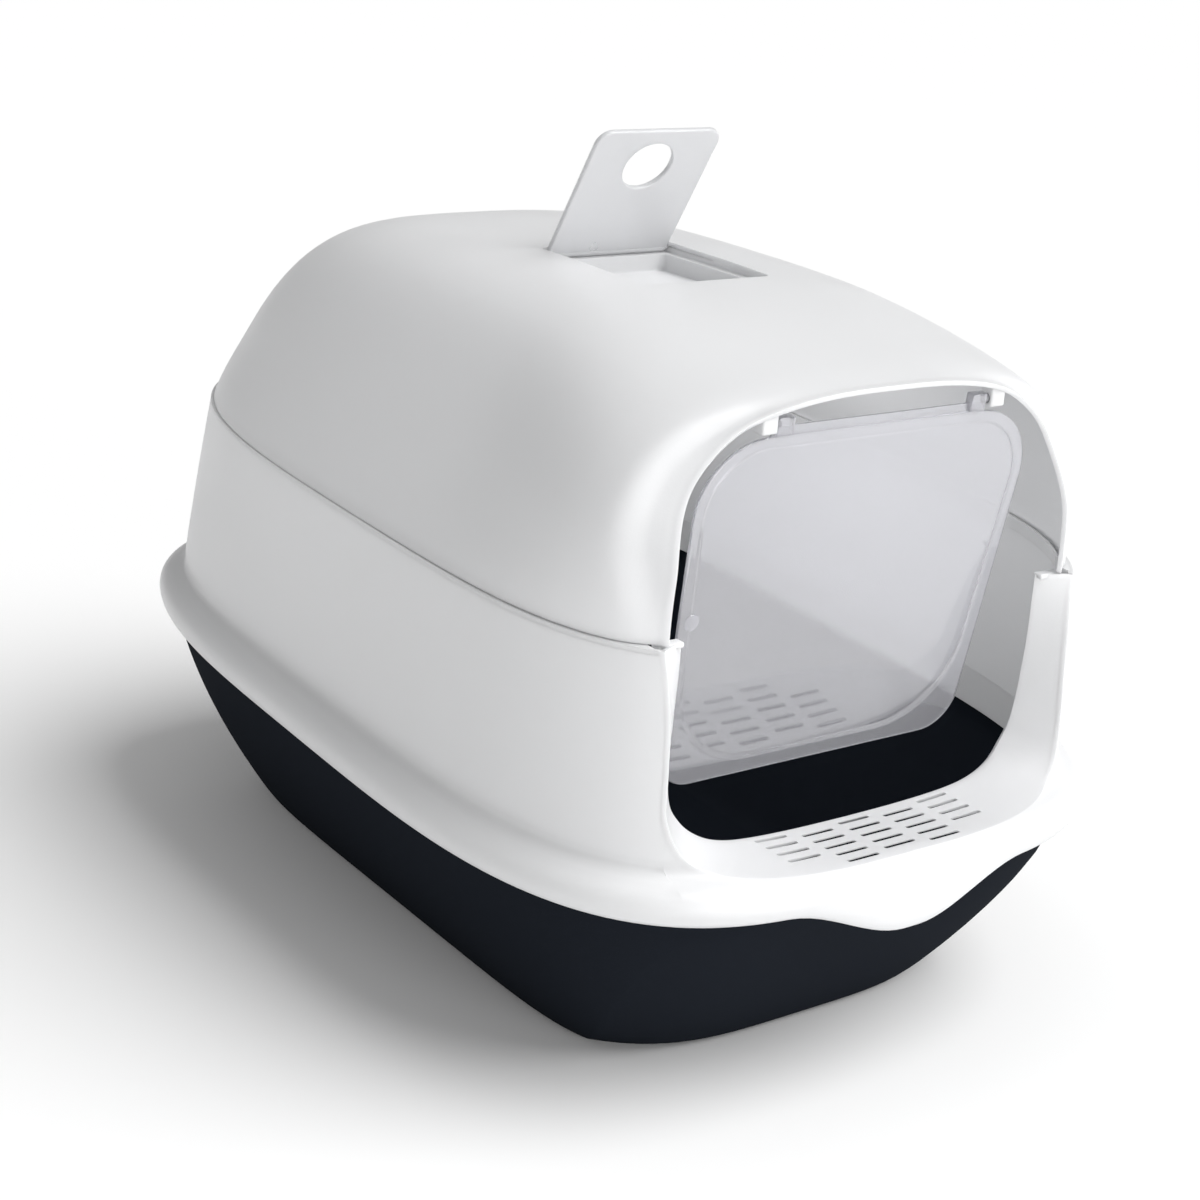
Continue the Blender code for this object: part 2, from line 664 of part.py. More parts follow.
def make_handle(material):
    """The fold-down handle: a plate with a finger hole and a hinge barrel along its lower edge."""
    axis = bpy.data.objects.new("handle_axis", None)
    axis.location = (0, HANDLE_AXIS_Y, HANDLE_AXIS_Z)
    parts.objects.link(axis)
    frame = Matrix.Rotation(math.pi / 2 + HANDLE_LEAN, 4, "X")
    handle = prism("fold_handle", handle_outline(), HANDLE_THICK, frame, material)
    hole = prism("handle_hole", arc(0, HANDLE_HOLE_AT, HANDLE_HOLE_RADIUS, 0, 345, 23), HANDLE_THICK * 4, frame)
    barrel = rod("barrel", -HANDLE_HALF_WIDTH + 0.001, HANDLE_HALF_WIDTH - 0.001, 0, 0, HANDLE_BARREL)
    pin_end = HANDLE_HALF_WIDTH + SEAT_GAP + 0.0022
    pin = rod("handle_pin", -pin_end, pin_end, 0, 0, HANDLE_PIN_RADIUS)
    for piece, operation in ((barrel, "UNION"), (pin, "UNION"), (hole, "DIFFERENCE")):
        combine(handle, piece, operation)
        piece.parent = axis
    handle.parent = axis
    shade(handle)
    return handle


def main():
    """Builds every part."""
    clear_scene()
    make_tray(plastic("tray_black", (0.012, 0.013, 0.015), 0.42))
    white = plastic("hood_white", (0.80, 0.81, 0.82), 0.38)
    make_skirt(white)
    make_dome(white)
    make_door(plastic("door_translucent", (0.62, 0.62, 0.68), 0.15, 0.45))
    make_handle(plastic("handle_translucent", (0.72, 0.73, 0.75), 0.2, 0.6))


main()
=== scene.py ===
"""Finished model of a hooded cat litter box: black tray, white two-part hood, translucent flap and handle."""

import logging
import math
from collections.abc import Callable, Sequence
from dataclasses import dataclass
from enum import Enum

import bmesh
import bpy
from mathutils import Matrix, Vector


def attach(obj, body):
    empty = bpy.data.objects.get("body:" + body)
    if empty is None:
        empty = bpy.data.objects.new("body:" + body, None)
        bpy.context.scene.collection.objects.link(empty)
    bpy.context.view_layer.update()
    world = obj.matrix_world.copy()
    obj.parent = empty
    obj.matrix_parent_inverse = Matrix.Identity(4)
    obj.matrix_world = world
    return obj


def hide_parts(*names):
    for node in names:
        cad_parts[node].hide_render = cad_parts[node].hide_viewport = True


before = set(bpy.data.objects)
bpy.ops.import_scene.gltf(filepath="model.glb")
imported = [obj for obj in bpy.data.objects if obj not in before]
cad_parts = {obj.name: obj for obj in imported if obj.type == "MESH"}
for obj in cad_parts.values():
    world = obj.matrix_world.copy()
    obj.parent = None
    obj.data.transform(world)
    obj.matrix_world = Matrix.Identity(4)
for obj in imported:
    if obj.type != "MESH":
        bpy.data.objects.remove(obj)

logging.basicConfig(level=logging.INFO, format="%(message)s")
log = logging.getLogger("litter_box")

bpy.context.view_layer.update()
Point = tuple[float, float, float]


class Body(Enum):
    """The bodies that the pieces ride on."""

    TRAY = "tray"
    HOOD_LOWER = "hood_lower"
    HOOD_UPPER = "hood_upper"
    DOOR = "door"
    HANDLE = "handle"


class Slot(Enum):
    """The record's material slots."""

    TRAY = "tray"
    HOOD = "hood"
    DOOR = "door"
    HANDLE = "handle"


# ---- small mathematics ---------------------------------------------------------------------


def ease(value: float, low: float, high: float) -> float:
    """0 below low, 1 above high, eased between them."""
    t = min(max((value - low) / (high - low), 0.0), 1.0)
    return t * t * (3 - 2 * t)


def mix(low: float, high: float, share: float) -> float:
    """The value a share of the way from low to high."""
    return low + (high - low) * share


def spread(low: float, high: float, count: int) -> list[float]:
    """Evenly spaced values from low to high, both included."""
    return [mix(low, high, i / (count - 1)) for i in range(count)]


class Course:
    """A smooth course through stations, which never overshoots between them."""

    def __init__(self, stations: Sequence[tuple[float, float]]) -> None:
        """Finds the slope at each station.

        Args:
            stations: (place, value) pairs in rising order of place.
        """
        self.xs = [float(x) for x, _ in stations]
        self.ys = [float(y) for _, y in stations]
        pairs = zip(self.xs, self.xs[1:], self.ys, self.ys[1:])
        steps = [(y1 - y0) / (x1 - x0) for x0, x1, y0, y1 in pairs]
        inner = [0.0 if a * b <= 0 else 2 * a * b / (a + b) for a, b in zip(steps, steps[1:])]
        self.slopes = [steps[0], *inner, steps[-1]]

    def at(self, place: float) -> float:
        """The value at a place.

        Args:
            place: where along the course; it is held within the stations.

        Returns:
            The value there.
        """
        place = min(max(place, self.xs[0]), self.xs[-1])
        i = next((k for k in range(len(self.xs) - 2) if place <= self.xs[k + 1]), len(self.xs) - 2)
        width = self.xs[i + 1] - self.xs[i]
        t = (place - self.xs[i]) / width
        a, b = self.slopes[i] * width, self.slopes[i + 1] * width
        return (
            self.ys[i] * (1 + 2 * t) * (1 - t) ** 2 + a * t * (1 - t) ** 2
            + self.ys[i + 1] * t * t * (3 - 2 * t) - b * t * t * (1 - t)
        )


def power_point(half_x: float, half_y: float, power: float, angle: float) -> tuple[float, float]:
    """A point on a rounded-rectangle outline.

    Args:
        half_x: half the outline's width.
        half_y: half its length.
        power: 2 for an ellipse, more for squarer corners.
        angle: from +X towards +Y, in radians.

    Returns:
        Its x and y.
    """
    c, s = math.cos(angle), math.sin(angle)
    x = math.copysign(abs(c) ** (2 / power), c) * half_x if abs(c) > 1e-9 else 0.0
    y = math.copysign(abs(s) ** (2 / power), s) * half_y if abs(s) > 1e-9 else 0.0
    return x, y


# ---- mesh making ---------------------------------------------------------------------------


class Skin:
    """A sheet of mesh that starts as one row or ring of points and is extruded row by row."""

    def __init__(self) -> None:
        """Starts with an empty mesh."""
        self.bm = bmesh.new()
        self.row: list[bmesh.types.BMVert] = []
        self.closed = False

    def start_ring(self, points: Sequence[Point]) -> list[bmesh.types.BMVert]:
        """Starts from a closed ring through the points and returns its vertices.

        Args:
            points: in order round the ring.

        Returns:
            The ring's vertices.
        """
        made = bmesh.ops.create_circle(self.bm, cap_ends=False, segments=len(points), radius=1.0)["verts"]
        for vert, point in zip(made, points):
            vert.co = point
        self.row, self.closed = made, True
        return made

    def start_row(self, points: Sequence[Point]) -> list[bmesh.types.BMVert]:
        """Starts from an open row through the points and returns its vertices.

        Args:
            points: in order along the row.

        Returns:
            The row's vertices.
        """
        self.row, self.closed = [self.bm.verts.new(point) for point in points], False
        for first, second in zip(self.row, self.row[1:]):
            self.bm.edges.new((first, second))
        return self.row

    def extrude_to(self, points: Sequence[Point]) -> list[bmesh.types.BMVert]:
        """Extrudes the last row to new places.

        Args:
            points: one for each point of the row.

        Returns:
            The new row's vertices.
        """
        following = self.row[1:] + (self.row[:1] if self.closed else [])
        edges = [self.bm.edges.get(pair) for pair in zip(self.row, following)]
        made = bmesh.ops.extrude_edge_only(self.bm, edges=edges)["geom"]
        fresh = {item for item in made if isinstance(item, bmesh.types.BMVert)}
        self.row = [next(e.other_vert(v) for e in v.link_edges if e.other_vert(v) in fresh) for v in self.row]
        for vert, point in zip(self.row, points):
            vert.co = point
        return self.row

    def cap(self, row: Sequence[bmesh.types.BMVert]) -> None:
        """Closes a ring with one face."""
        edges = [self.bm.edges.get(pair) for pair in zip(row, [*row[1:], row[0]])]
        bmesh.ops.contextual_create(self.bm, geom=edges)

    def loft(self, rings: Sequence[Sequence[Point]], capped: bool = False) -> None:
        """Runs a ring through a list of rings.

        Args:
            rings: each with the same number of points.
            capped: whether both ends are closed with a face; otherwise the last ring joins the first.
        """
        first = self.start_ring(rings[0])
        for ring in rings[1:]:
            last = self.extrude_to(ring)
        if capped:
            self.cap(first)
            self.cap(last)
        else:
            ends = [self.bm.edges.get((a, b)) for row in (first, last) for a, b in zip(row, [*row[1:], row[0]])]
            bmesh.ops.bridge_loops(self.bm, edges=ends)
        self.face_out()

    def face_out(self) -> None:
        """Turns the faces of a closed mesh outwards."""
        bmesh.ops.recalc_face_normals(self.bm, faces=self.bm.faces)

    def face_away_from(self, centre: Point) -> None:
        """Turns the faces of an open sheet away from a point.

        Args:
            centre: a point behind the sheet.
        """
        bmesh.ops.recalc_face_normals(self.bm, faces=self.bm.faces)
        middle = Vector(centre)
        if sum(f.calc_area() * f.normal.dot(f.calc_center_median() - middle) for f in self.bm.faces) < 0:
            bmesh.ops.reverse_faces(self.bm, faces=self.bm.faces)

    def add_block(self, low: Point, high: Point, radius: float = 0.0, segments: int = 3) -> None:
        """Adds a block between two corners.

        Args:
            low: its lowest corner.
            high: its highest corner.
            radius: of its rounded edges.
            segments: in each rounding.
        """
        size = Vector(high) - Vector(low)
        place = Matrix.Translation((Vector(low) + Vector(high)) / 2) @ Matrix.Diagonal((*size, 1))
        made = bmesh.ops.create_cube(self.bm, size=1.0, matrix=place)["verts"]
        if radius:
            edges = list({e for v in made for e in v.link_edges})
            bmesh.ops.bevel(
                self.bm, geom=edges, offset=radius, segments=segments, profile=0.5, affect="EDGES", material=-1
            )

    def add_rod(self, start_x: float, end_x: float, y: float, z: float, radius: float, edge: float = 0.0003) -> None:
        """Adds a round bar along X with softened ends.

        Args:
            start_x: where one end stands.
            end_x: where the other end stands.
            y: of its axis.
            z: of its axis.
            radius: of the bar.
            edge: the width of its softened rims.
        """
        turn = Matrix.Rotation(math.pi / 2, 4, "Y")
        made = bmesh.ops.create_cone(
            self.bm, cap_ends=True, segments=40, radius1=radius, radius2=radius, depth=abs(end_x - start_x),
            matrix=Matrix.Translation(((start_x + end_x) / 2, y, z)) @ turn,
        )["verts"]
        rims = [e for e in {e for v in made for e in v.link_edges} if any(len(f.verts) > 4 for f in e.link_faces)]
        bmesh.ops.bevel(self.bm, geom=rims, offset=edge, segments=2, profile=0.5, affect="EDGES", material=-1)

    def to_object(self, name: str) -> bpy.types.Object:
        """Makes the finished object and frees the mesh in hand.

        Args:
            name: of the object and its mesh.

        Returns:
            The object, in the scene.
        """
        mesh = bpy.data.meshes.new(name)
        self.bm.to_mesh(mesh)
        self.bm.free()
        made = bpy.data.objects.new(name, mesh)
        bpy.context.scene.collection.objects.link(made)
        return made


def apply_modifiers(piece: bpy.types.Object) -> None:
    """Replaces a piece's mesh by what its modifiers make of it.

    Args:
        piece: the object with modifiers.
    """
    bpy.context.view_layer.update()
    graph = bpy.context.evaluated_depsgraph_get()
    made = bpy.data.meshes.new_from_object(piece.evaluated_get(graph))
    old = piece.data
    piece.modifiers.clear()
    piece.data = made
    made.name = piece.name
    bpy.data.meshes.remove(old)


def combine(piece: bpy.types.Object, other: bpy.types.Object, operation: str) -> None:
    """Joins or cuts a piece with another solid, which is used up.

    Args:
        piece: the object that is kept.
        other: the solid that joins or cuts it.
        operation: UNION or DIFFERENCE.
    """
    step = piece.modifiers.new("combine", "BOOLEAN")
    step.operation, step.solver, step.object = operation, "EXACT", other
    apply_modifiers(piece)
    bpy.data.objects.remove(other)


def thicken(piece: bpy.types.Object, thickness: float, rounding: float = 0.0) -> None:
    """Gives an open sheet a wall on its inner side, with softened edges.

    Args:
        piece: the sheet.
        thickness: of its wall.
        rounding: of its edges, or 0 for none.
    """
    wall = piece.modifiers.new("wall", "SOLIDIFY")
    wall.thickness, wall.offset, wall.use_even_offset = thickness, -1.0, False
    if rounding:
        soften(piece, rounding)
    apply_modifiers(piece)


def soften(piece: bpy.types.Object, width: float, angle: float = 50.0) -> None:
    """Rounds a piece's sharp edges.

    Args:
        piece: the object.
        width: of the rounding.
        angle: in degrees, over which an edge is rounded.
    """
    edge = piece.modifiers.new("soft_edges", "BEVEL")
    edge.width, edge.segments, edge.limit_method = width, 2, "ANGLE"
    edge.angle_limit = math.radians(angle)
    edge.use_clamp_overlap = True


def install(
    piece: bpy.types.Object, body: Body, finish: "Finish", replaced: str = "", sharp: float = 40.0
) -> None:
    """Dresses a piece, shades it, and makes it ride on its body.

    Args:
        piece: the finished object.
        body: the body that it moves with.
        finish: its material.
        replaced: the CAD node that it stands for, if any.
        sharp: the angle in degrees over which an edge stays crisp.
    """
    piece.data.materials.clear()
    piece.data.materials.append(finish.material())
    piece.data.shade_smooth()
    piece.data.set_sharp_from_angle(angle=math.radians(sharp))
    if replaced:
        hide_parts(replaced)
    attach(piece, body.value)
    log.info("%s: %d faces on %s", piece.name, len(piece.data.polygons), body.value)


# ---- finishes ------------------------------------------------------------------------------


class NodeGroups:
    """The shader groups that several finishes share, each made once."""

    made: dict[str, bpy.types.ShaderNodeTree] = {}

    @classmethod
    def start(
        cls, name: str, inputs: Sequence[tuple[str, str, float]], outputs: Sequence[tuple[str, str]]
    ) -> tuple[bpy.types.ShaderNodeTree, bpy.types.Node, bpy.types.Node]:
        """Makes an empty group with its sockets.

        Args:
            name: the group's name.
            inputs: each input's label, socket type and value.
            outputs: each output's label and socket type.

        Returns:
            Its tree, input node and output node.
        """
        tree = bpy.data.node_groups.new(name, "ShaderNodeTree")
        for label, kind, default in inputs:
            socket = tree.interface.new_socket(name=label, in_out="INPUT", socket_type=kind)
            if kind == "NodeSocketFloat":
                socket.default_value = default
        for label, kind in outputs:
            tree.interface.new_socket(name=label, in_out="OUTPUT", socket_type=kind)
        cls.made[name] = tree
        return tree, tree.nodes.new("NodeGroupInput"), tree.nodes.new("NodeGroupOutput")

    @classmethod
    def moulded_grain(cls) -> bpy.types.ShaderNodeTree:
        """The fine grain and faint sink marks of a moulded surface.

        Returns:
            A group that puts out a height from 0 to 1.
        """
        if "moulded_grain" in cls.made:
            return cls.made["moulded_grain"]
        sockets = [("Vector", "NodeSocketVector", 0.0), ("Grain size", "NodeSocketFloat", 1500.0),
                   ("Sink marks", "NodeSocketFloat", 0.3)]
        tree, given, result = cls.start("moulded_grain", sockets, [("Height", "NodeSocketFloat")])
        fine, broad = tree.nodes.new("ShaderNodeTexNoise"), tree.nodes.new("ShaderNodeTexNoise")
        fine.inputs["Detail"].default_value = 3.0
        broad.inputs["Scale"].default_value = 9.0
        broad.inputs["Detail"].default_value = 1.0
        blend = tree.nodes.new("ShaderNodeMix")
        tree.links.new(given.outputs["Vector"], fine.inputs["Vector"])
        tree.links.new(given.outputs["Vector"], broad.inputs["Vector"])
        tree.links.new(given.outputs["Grain size"], fine.inputs["Scale"])
        tree.links.new(given.outputs["Sink marks"], blend.inputs["Factor"])
        tree.links.new(fine.outputs["Fac"], blend.inputs["A"])
        tree.links.new(broad.outputs["Fac"], blend.inputs["B"])
        tree.links.new(blend.outputs["Result"], result.inputs["Height"])
        return tree

    @classmethod
    def handling_marks(cls) -> bpy.types.ShaderNodeTree:
        """Where handling has polished or dulled a surface.

        Returns:
            A group that puts out a roughness between two values.
        """
        if "handling_marks" in cls.made:
            return cls.made["handling_marks"]
        sockets = [("Vector", "NodeSocketVector", 0.0), ("Patch size", "NodeSocketFloat", 14.0),
                   ("Polished", "NodeSocketFloat", 0.3), ("Dull", "NodeSocketFloat", 0.4)]
        tree, given, result = cls.start("handling_marks", sockets, [("Roughness", "NodeSocketFloat")])
        patch, span = tree.nodes.new("ShaderNodeTexNoise"), tree.nodes.new("ShaderNodeMapRange")
        patch.inputs["Detail"].default_value = 5.0
        patch.inputs["Roughness"].default_value = 0.6
        span.inputs["From Min"].default_value = 0.35
        span.inputs["From Max"].default_value = 0.65
        tree.links.new(given.outputs["Vector"], patch.inputs["Vector"])
        tree.links.new(given.outputs["Patch size"], patch.inputs["Scale"])
        tree.links.new(patch.outputs["Fac"], span.inputs["Value"])
        tree.links.new(given.outputs["Polished"], span.inputs["To Min"])
        tree.links.new(given.outputs["Dull"], span.inputs["To Max"])
        tree.links.new(span.outputs["Result"], result.inputs["Roughness"])
        return tree


@dataclass(frozen=True)
class Finish:
    """A moulded plastic."""

    name: str
    colour: tuple[float, float, float]
    shade: tuple[float, float, float]
    polished: float
    dull: float
    grain_size: float
    grain_depth: float
    sink_marks: float
    transmission: float = 0.0
    coat: float = 0.0
    ior: float = 1.49
    subsurface: float = 0.0
    specular: float = 0.5
    coat_roughness: float = 0.03
    coat_ior: float = 1.5

    def material(self) -> bpy.types.Material:
        """The material, made on first use.

        Returns:
            A node material that reads Object coordinates.
        """
        found = bpy.data.materials.get(self.name)
        if found:
            return found
        made = bpy.data.materials.new(self.name)
        made.use_nodes = True
        nodes, links = made.node_tree.nodes, made.node_tree.links
        shader = nodes["Principled BSDF"]
        shader.inputs["IOR"].default_value = self.ior
        shader.inputs["Transmission Weight"].default_value = self.transmission
        shader.inputs["Coat Weight"].default_value = self.coat
        shader.inputs["Coat Roughness"].default_value = self.coat_roughness
        shader.inputs["Coat IOR"].default_value = self.coat_ior
        shader.inputs["Specular IOR Level"].default_value = self.specular
        if self.subsurface:
            shader.inputs["Subsurface Weight"].default_value = self.subsurface
            shader.inputs["Subsurface Radius"].default_value = (0.004, 0.004, 0.004)
            shader.inputs["Subsurface Scale"].default_value = 1.0
        place = nodes.new("ShaderNodeTexCoord")
        tone, tint = nodes.new("ShaderNodeTexNoise"), nodes.new("ShaderNodeMix")
        tone.inputs["Scale"].default_value = 5.0
        tone.inputs["Detail"].default_value = 4.0
        tint.data_type = "RGBA"
        tint.inputs["A"].default_value = (*self.colour, 1.0)
        tint.inputs["B"].default_value = (*self.shade, 1.0)
        links.new(place.outputs["Object"], tone.inputs["Vector"])
        links.new(tone.outputs["Fac"], tint.inputs["Factor"])
        links.new(tint.outputs["Result"], shader.inputs["Base Color"])
        marks, grain = nodes.new("ShaderNodeGroup"), nodes.new("ShaderNodeGroup")
        marks.node_tree, grain.node_tree = NodeGroups.handling_marks(), NodeGroups.moulded_grain()
        marks.inputs["Polished"].default_value = self.polished
        marks.inputs["Dull"].default_value = self.dull
        grain.inputs["Grain size"].default_value = self.grain_size
        grain.inputs["Sink marks"].default_value = self.sink_marks
        bump = nodes.new("ShaderNodeBump")
        bump.inputs["Strength"].default_value = 1.0
        bump.inputs["Distance"].default_value = self.grain_depth
        links.new(place.outputs["Object"], marks.inputs["Vector"])
        links.new(place.outputs["Object"], grain.inputs["Vector"])
        links.new(marks.outputs["Roughness"], shader.inputs["Roughness"])
        links.new(grain.outputs["Height"], bump.inputs["Height"])
        links.new(bump.outputs["Normal"], shader.inputs["Normal"])
        return made


HOOD_WHITE = Finish(
    "hood_white", colour=(0.765, 0.768, 0.776), shade=(0.75, 0.754, 0.762), polished=0.32, dull=0.42,
    grain_size=900.0, grain_depth=0.00004, sink_marks=0.25, ior=1.5, subsurface=0.5,
)
TRAY_BLACK = Finish(
    "tray_black", colour=(0.0120, 0.0148, 0.0205), shade=(0.0095, 0.0118, 0.0165), polished=0.38, dull=0.50,
    grain_size=1100.0, grain_depth=0.00010, sink_marks=0.15, specular=0.0, coat=0.05, coat_roughness=0.38,
)
FLAP_SMOKE = Finish(
    "flap_smoke", colour=(0.86, 0.86, 0.90), shade=(0.83, 0.83, 0.875), polished=0.09, dull=0.13,
    grain_size=500.0, grain_depth=0.000004, sink_marks=0.97, transmission=0.74, coat=1.0, ior=1.35, coat_ior=1.8,
)
HANDLE_MILK = Finish(
    "handle_milk", colour=(0.87, 0.875, 0.89), shade=(0.84, 0.845, 0.86), polished=0.26, dull=0.34,
    grain_size=600.0, grain_depth=0.00001, sink_marks=0.5, transmission=0.30, coat=0.3, ior=1.40,
)


# ---- shared lines of the box ---------------------------------------------------------------


@dataclass(frozen=True)
class BoxLines:
    """The overall sizes that the tray and both hoods follow."""

    length: float = 0.560
    width: float = 0.390
    wall: float = 0.0025
    rim_height: float = 0.1166
    seam_height: float = 0.2449
    rise: float = 0.037
    plan_power: float = 3.9
    rim_power: float = 3.6
    seam_back_power: float = 3.15

    def rim_z(self, y: float) -> float:
        """Height of the hood's lower edge."""
        return self.rim_height + self.rise * y

    def seam_z(self, y: float) -> float:
        """Height of the seam between the two hoods."""
        return self.seam_height + self.rise * y


LINES = BoxLines()


# ---- tray ----------------------------------------------------------------------------------


@dataclass
class Tray:
    """The black tray: a tapered shell with a bowed front panel and a bead at its edge."""

    top_inset: float = 0.0085
    end_inset: float = 0.0030
    floor_inset: float = 0.072
    floor_power: float = 6.2
    top_power: float = 3.7
    bead: float = 0.0022
    stand: float = 0.0074
    top_share: float = 0.935
    foot_share: float = 0.085
    foot_inset: float = 0.0570
    bulge: float = 0.004
    panel_low: float = 0.106
    panel_high: float = 0.130
    corner_steps: int = 26
    side_steps: int = 30
    panel_steps: int = 40
    levels: int = 34

    def panel_half(self, share: float) -> float:
        """Half the width of the front panel, whose upper corners are rounded."""
        low = mix(self.panel_low, self.panel_high, ease(share, -0.35, 0.5))
        return mix(low, self.panel_low - 0.008, ease(share, 0.62, 1.05))

    def ring(self, share: float, inset: float, wall: float = 0.0, floor: float = 0.0) -> list[Point]:
        """One level of the tray.

        Args:
            share: 0 at the floor, 1 at the upper edge.
            inset: how far the level is drawn in from the edge's outline.
            wall: how much further in, for the inner face.
            floor: the thickness of the floor under it.

        Returns:
            Its points, from +X anticlockwise.
        """
        power = mix(self.floor_power, self.top_power, share)
        half_x = LINES.width / 2 - self.top_inset - inset - wall
        half_y = LINES.length / 2 - self.top_inset - self.end_inset - inset - wall
        panel = min(self.panel_half(share), 0.93 * (half_x + wall)) - wall / 2
        edge = math.acos((panel / half_x) ** (power / 2))
        front_y = half_y * math.sin(edge) ** (2 / power)
        around = 4 * self.side_steps
        flat = [power_point(half_x, half_y, power, math.pi * i / around) for i in range(around)]
        for i in range(self.corner_steps):
            flat.append(power_point(half_x, half_y, power, math.pi + edge * i / self.corner_steps))
        for i in range(self.panel_steps):
            turn = math.sin(math.pi * (i / self.panel_steps - 0.5))
            x = panel * turn
            bow = front_y + (half_y - front_y) * (1 - abs(turn) ** 4)
            flat.append((x, -bow))
        for i in range(self.corner_steps):
            flat.append(power_point(half_x, half_y, power, -edge * (1 - i / self.corner_steps)))
        return [(x, y, floor + share * (LINES.rim_z(y) + self.stand - floor)) for x, y in flat]

    def wall_level(self, share: float) -> tuple[float, float]:
        """The height share and inset at a share of the way up the wall."""
        swell = self.bulge * 4 * share * (1 - share)
        return mix(self.foot_share, self.top_share, share), mix(self.foot_inset, self.bead, share) - swell

    def build(self) -> None:
        """Builds and dresses the tray."""
        walls = [self.wall_level(t) for t in spread(0, 1, self.levels)]
        foot = Course([(0.0, self.floor_inset), (0.004, 0.0690), (0.014, 0.0655), (0.034, 0.0620), (0.085, 0.0570)])
        feet = [(t, foot.at(t)) for t in (0.001, 0.004, 0.008, 0.014, 0.022, 0.034, 0.048, 0.065)]
        rings = [self.ring(0.0, self.floor_inset)] + [self.ring(t, inset) for t, inset in feet + walls]
        rings += [self.ring(0.950, 0.0010), self.ring(0.962, 0.0), self.ring(0.993, 0.0), self.ring(1.0, 0.0006)]
        rings += [self.ring(1.0, self.bead + 0.0019), self.ring(0.993, self.bead + 0.0025)]
        slope = LINES.wall * 1.15
        rings.append(self.ring(self.top_share, self.bead, slope + 0.0008))
        rings += [self.ring(t, inset, slope, LINES.wall) for t, inset in reversed(walls[:-1])]
        rings += [self.ring(t, foot.at(t + 0.002), slope, LINES.wall) for t in (0.065, 0.048, 0.034, 0.022, 0.012)]
        rings.append(self.ring(0.0, self.floor_inset, 0.0, LINES.wall))
        skin = Skin()
        skin.loft(rings, capped=True)
        tray = skin.to_object("tray_shell")
        install(tray, Body.TRAY, TRAY_BLACK, "base_tray", sharp=50.0)


# ---- lower hood ----------------------------------------------------------------------------


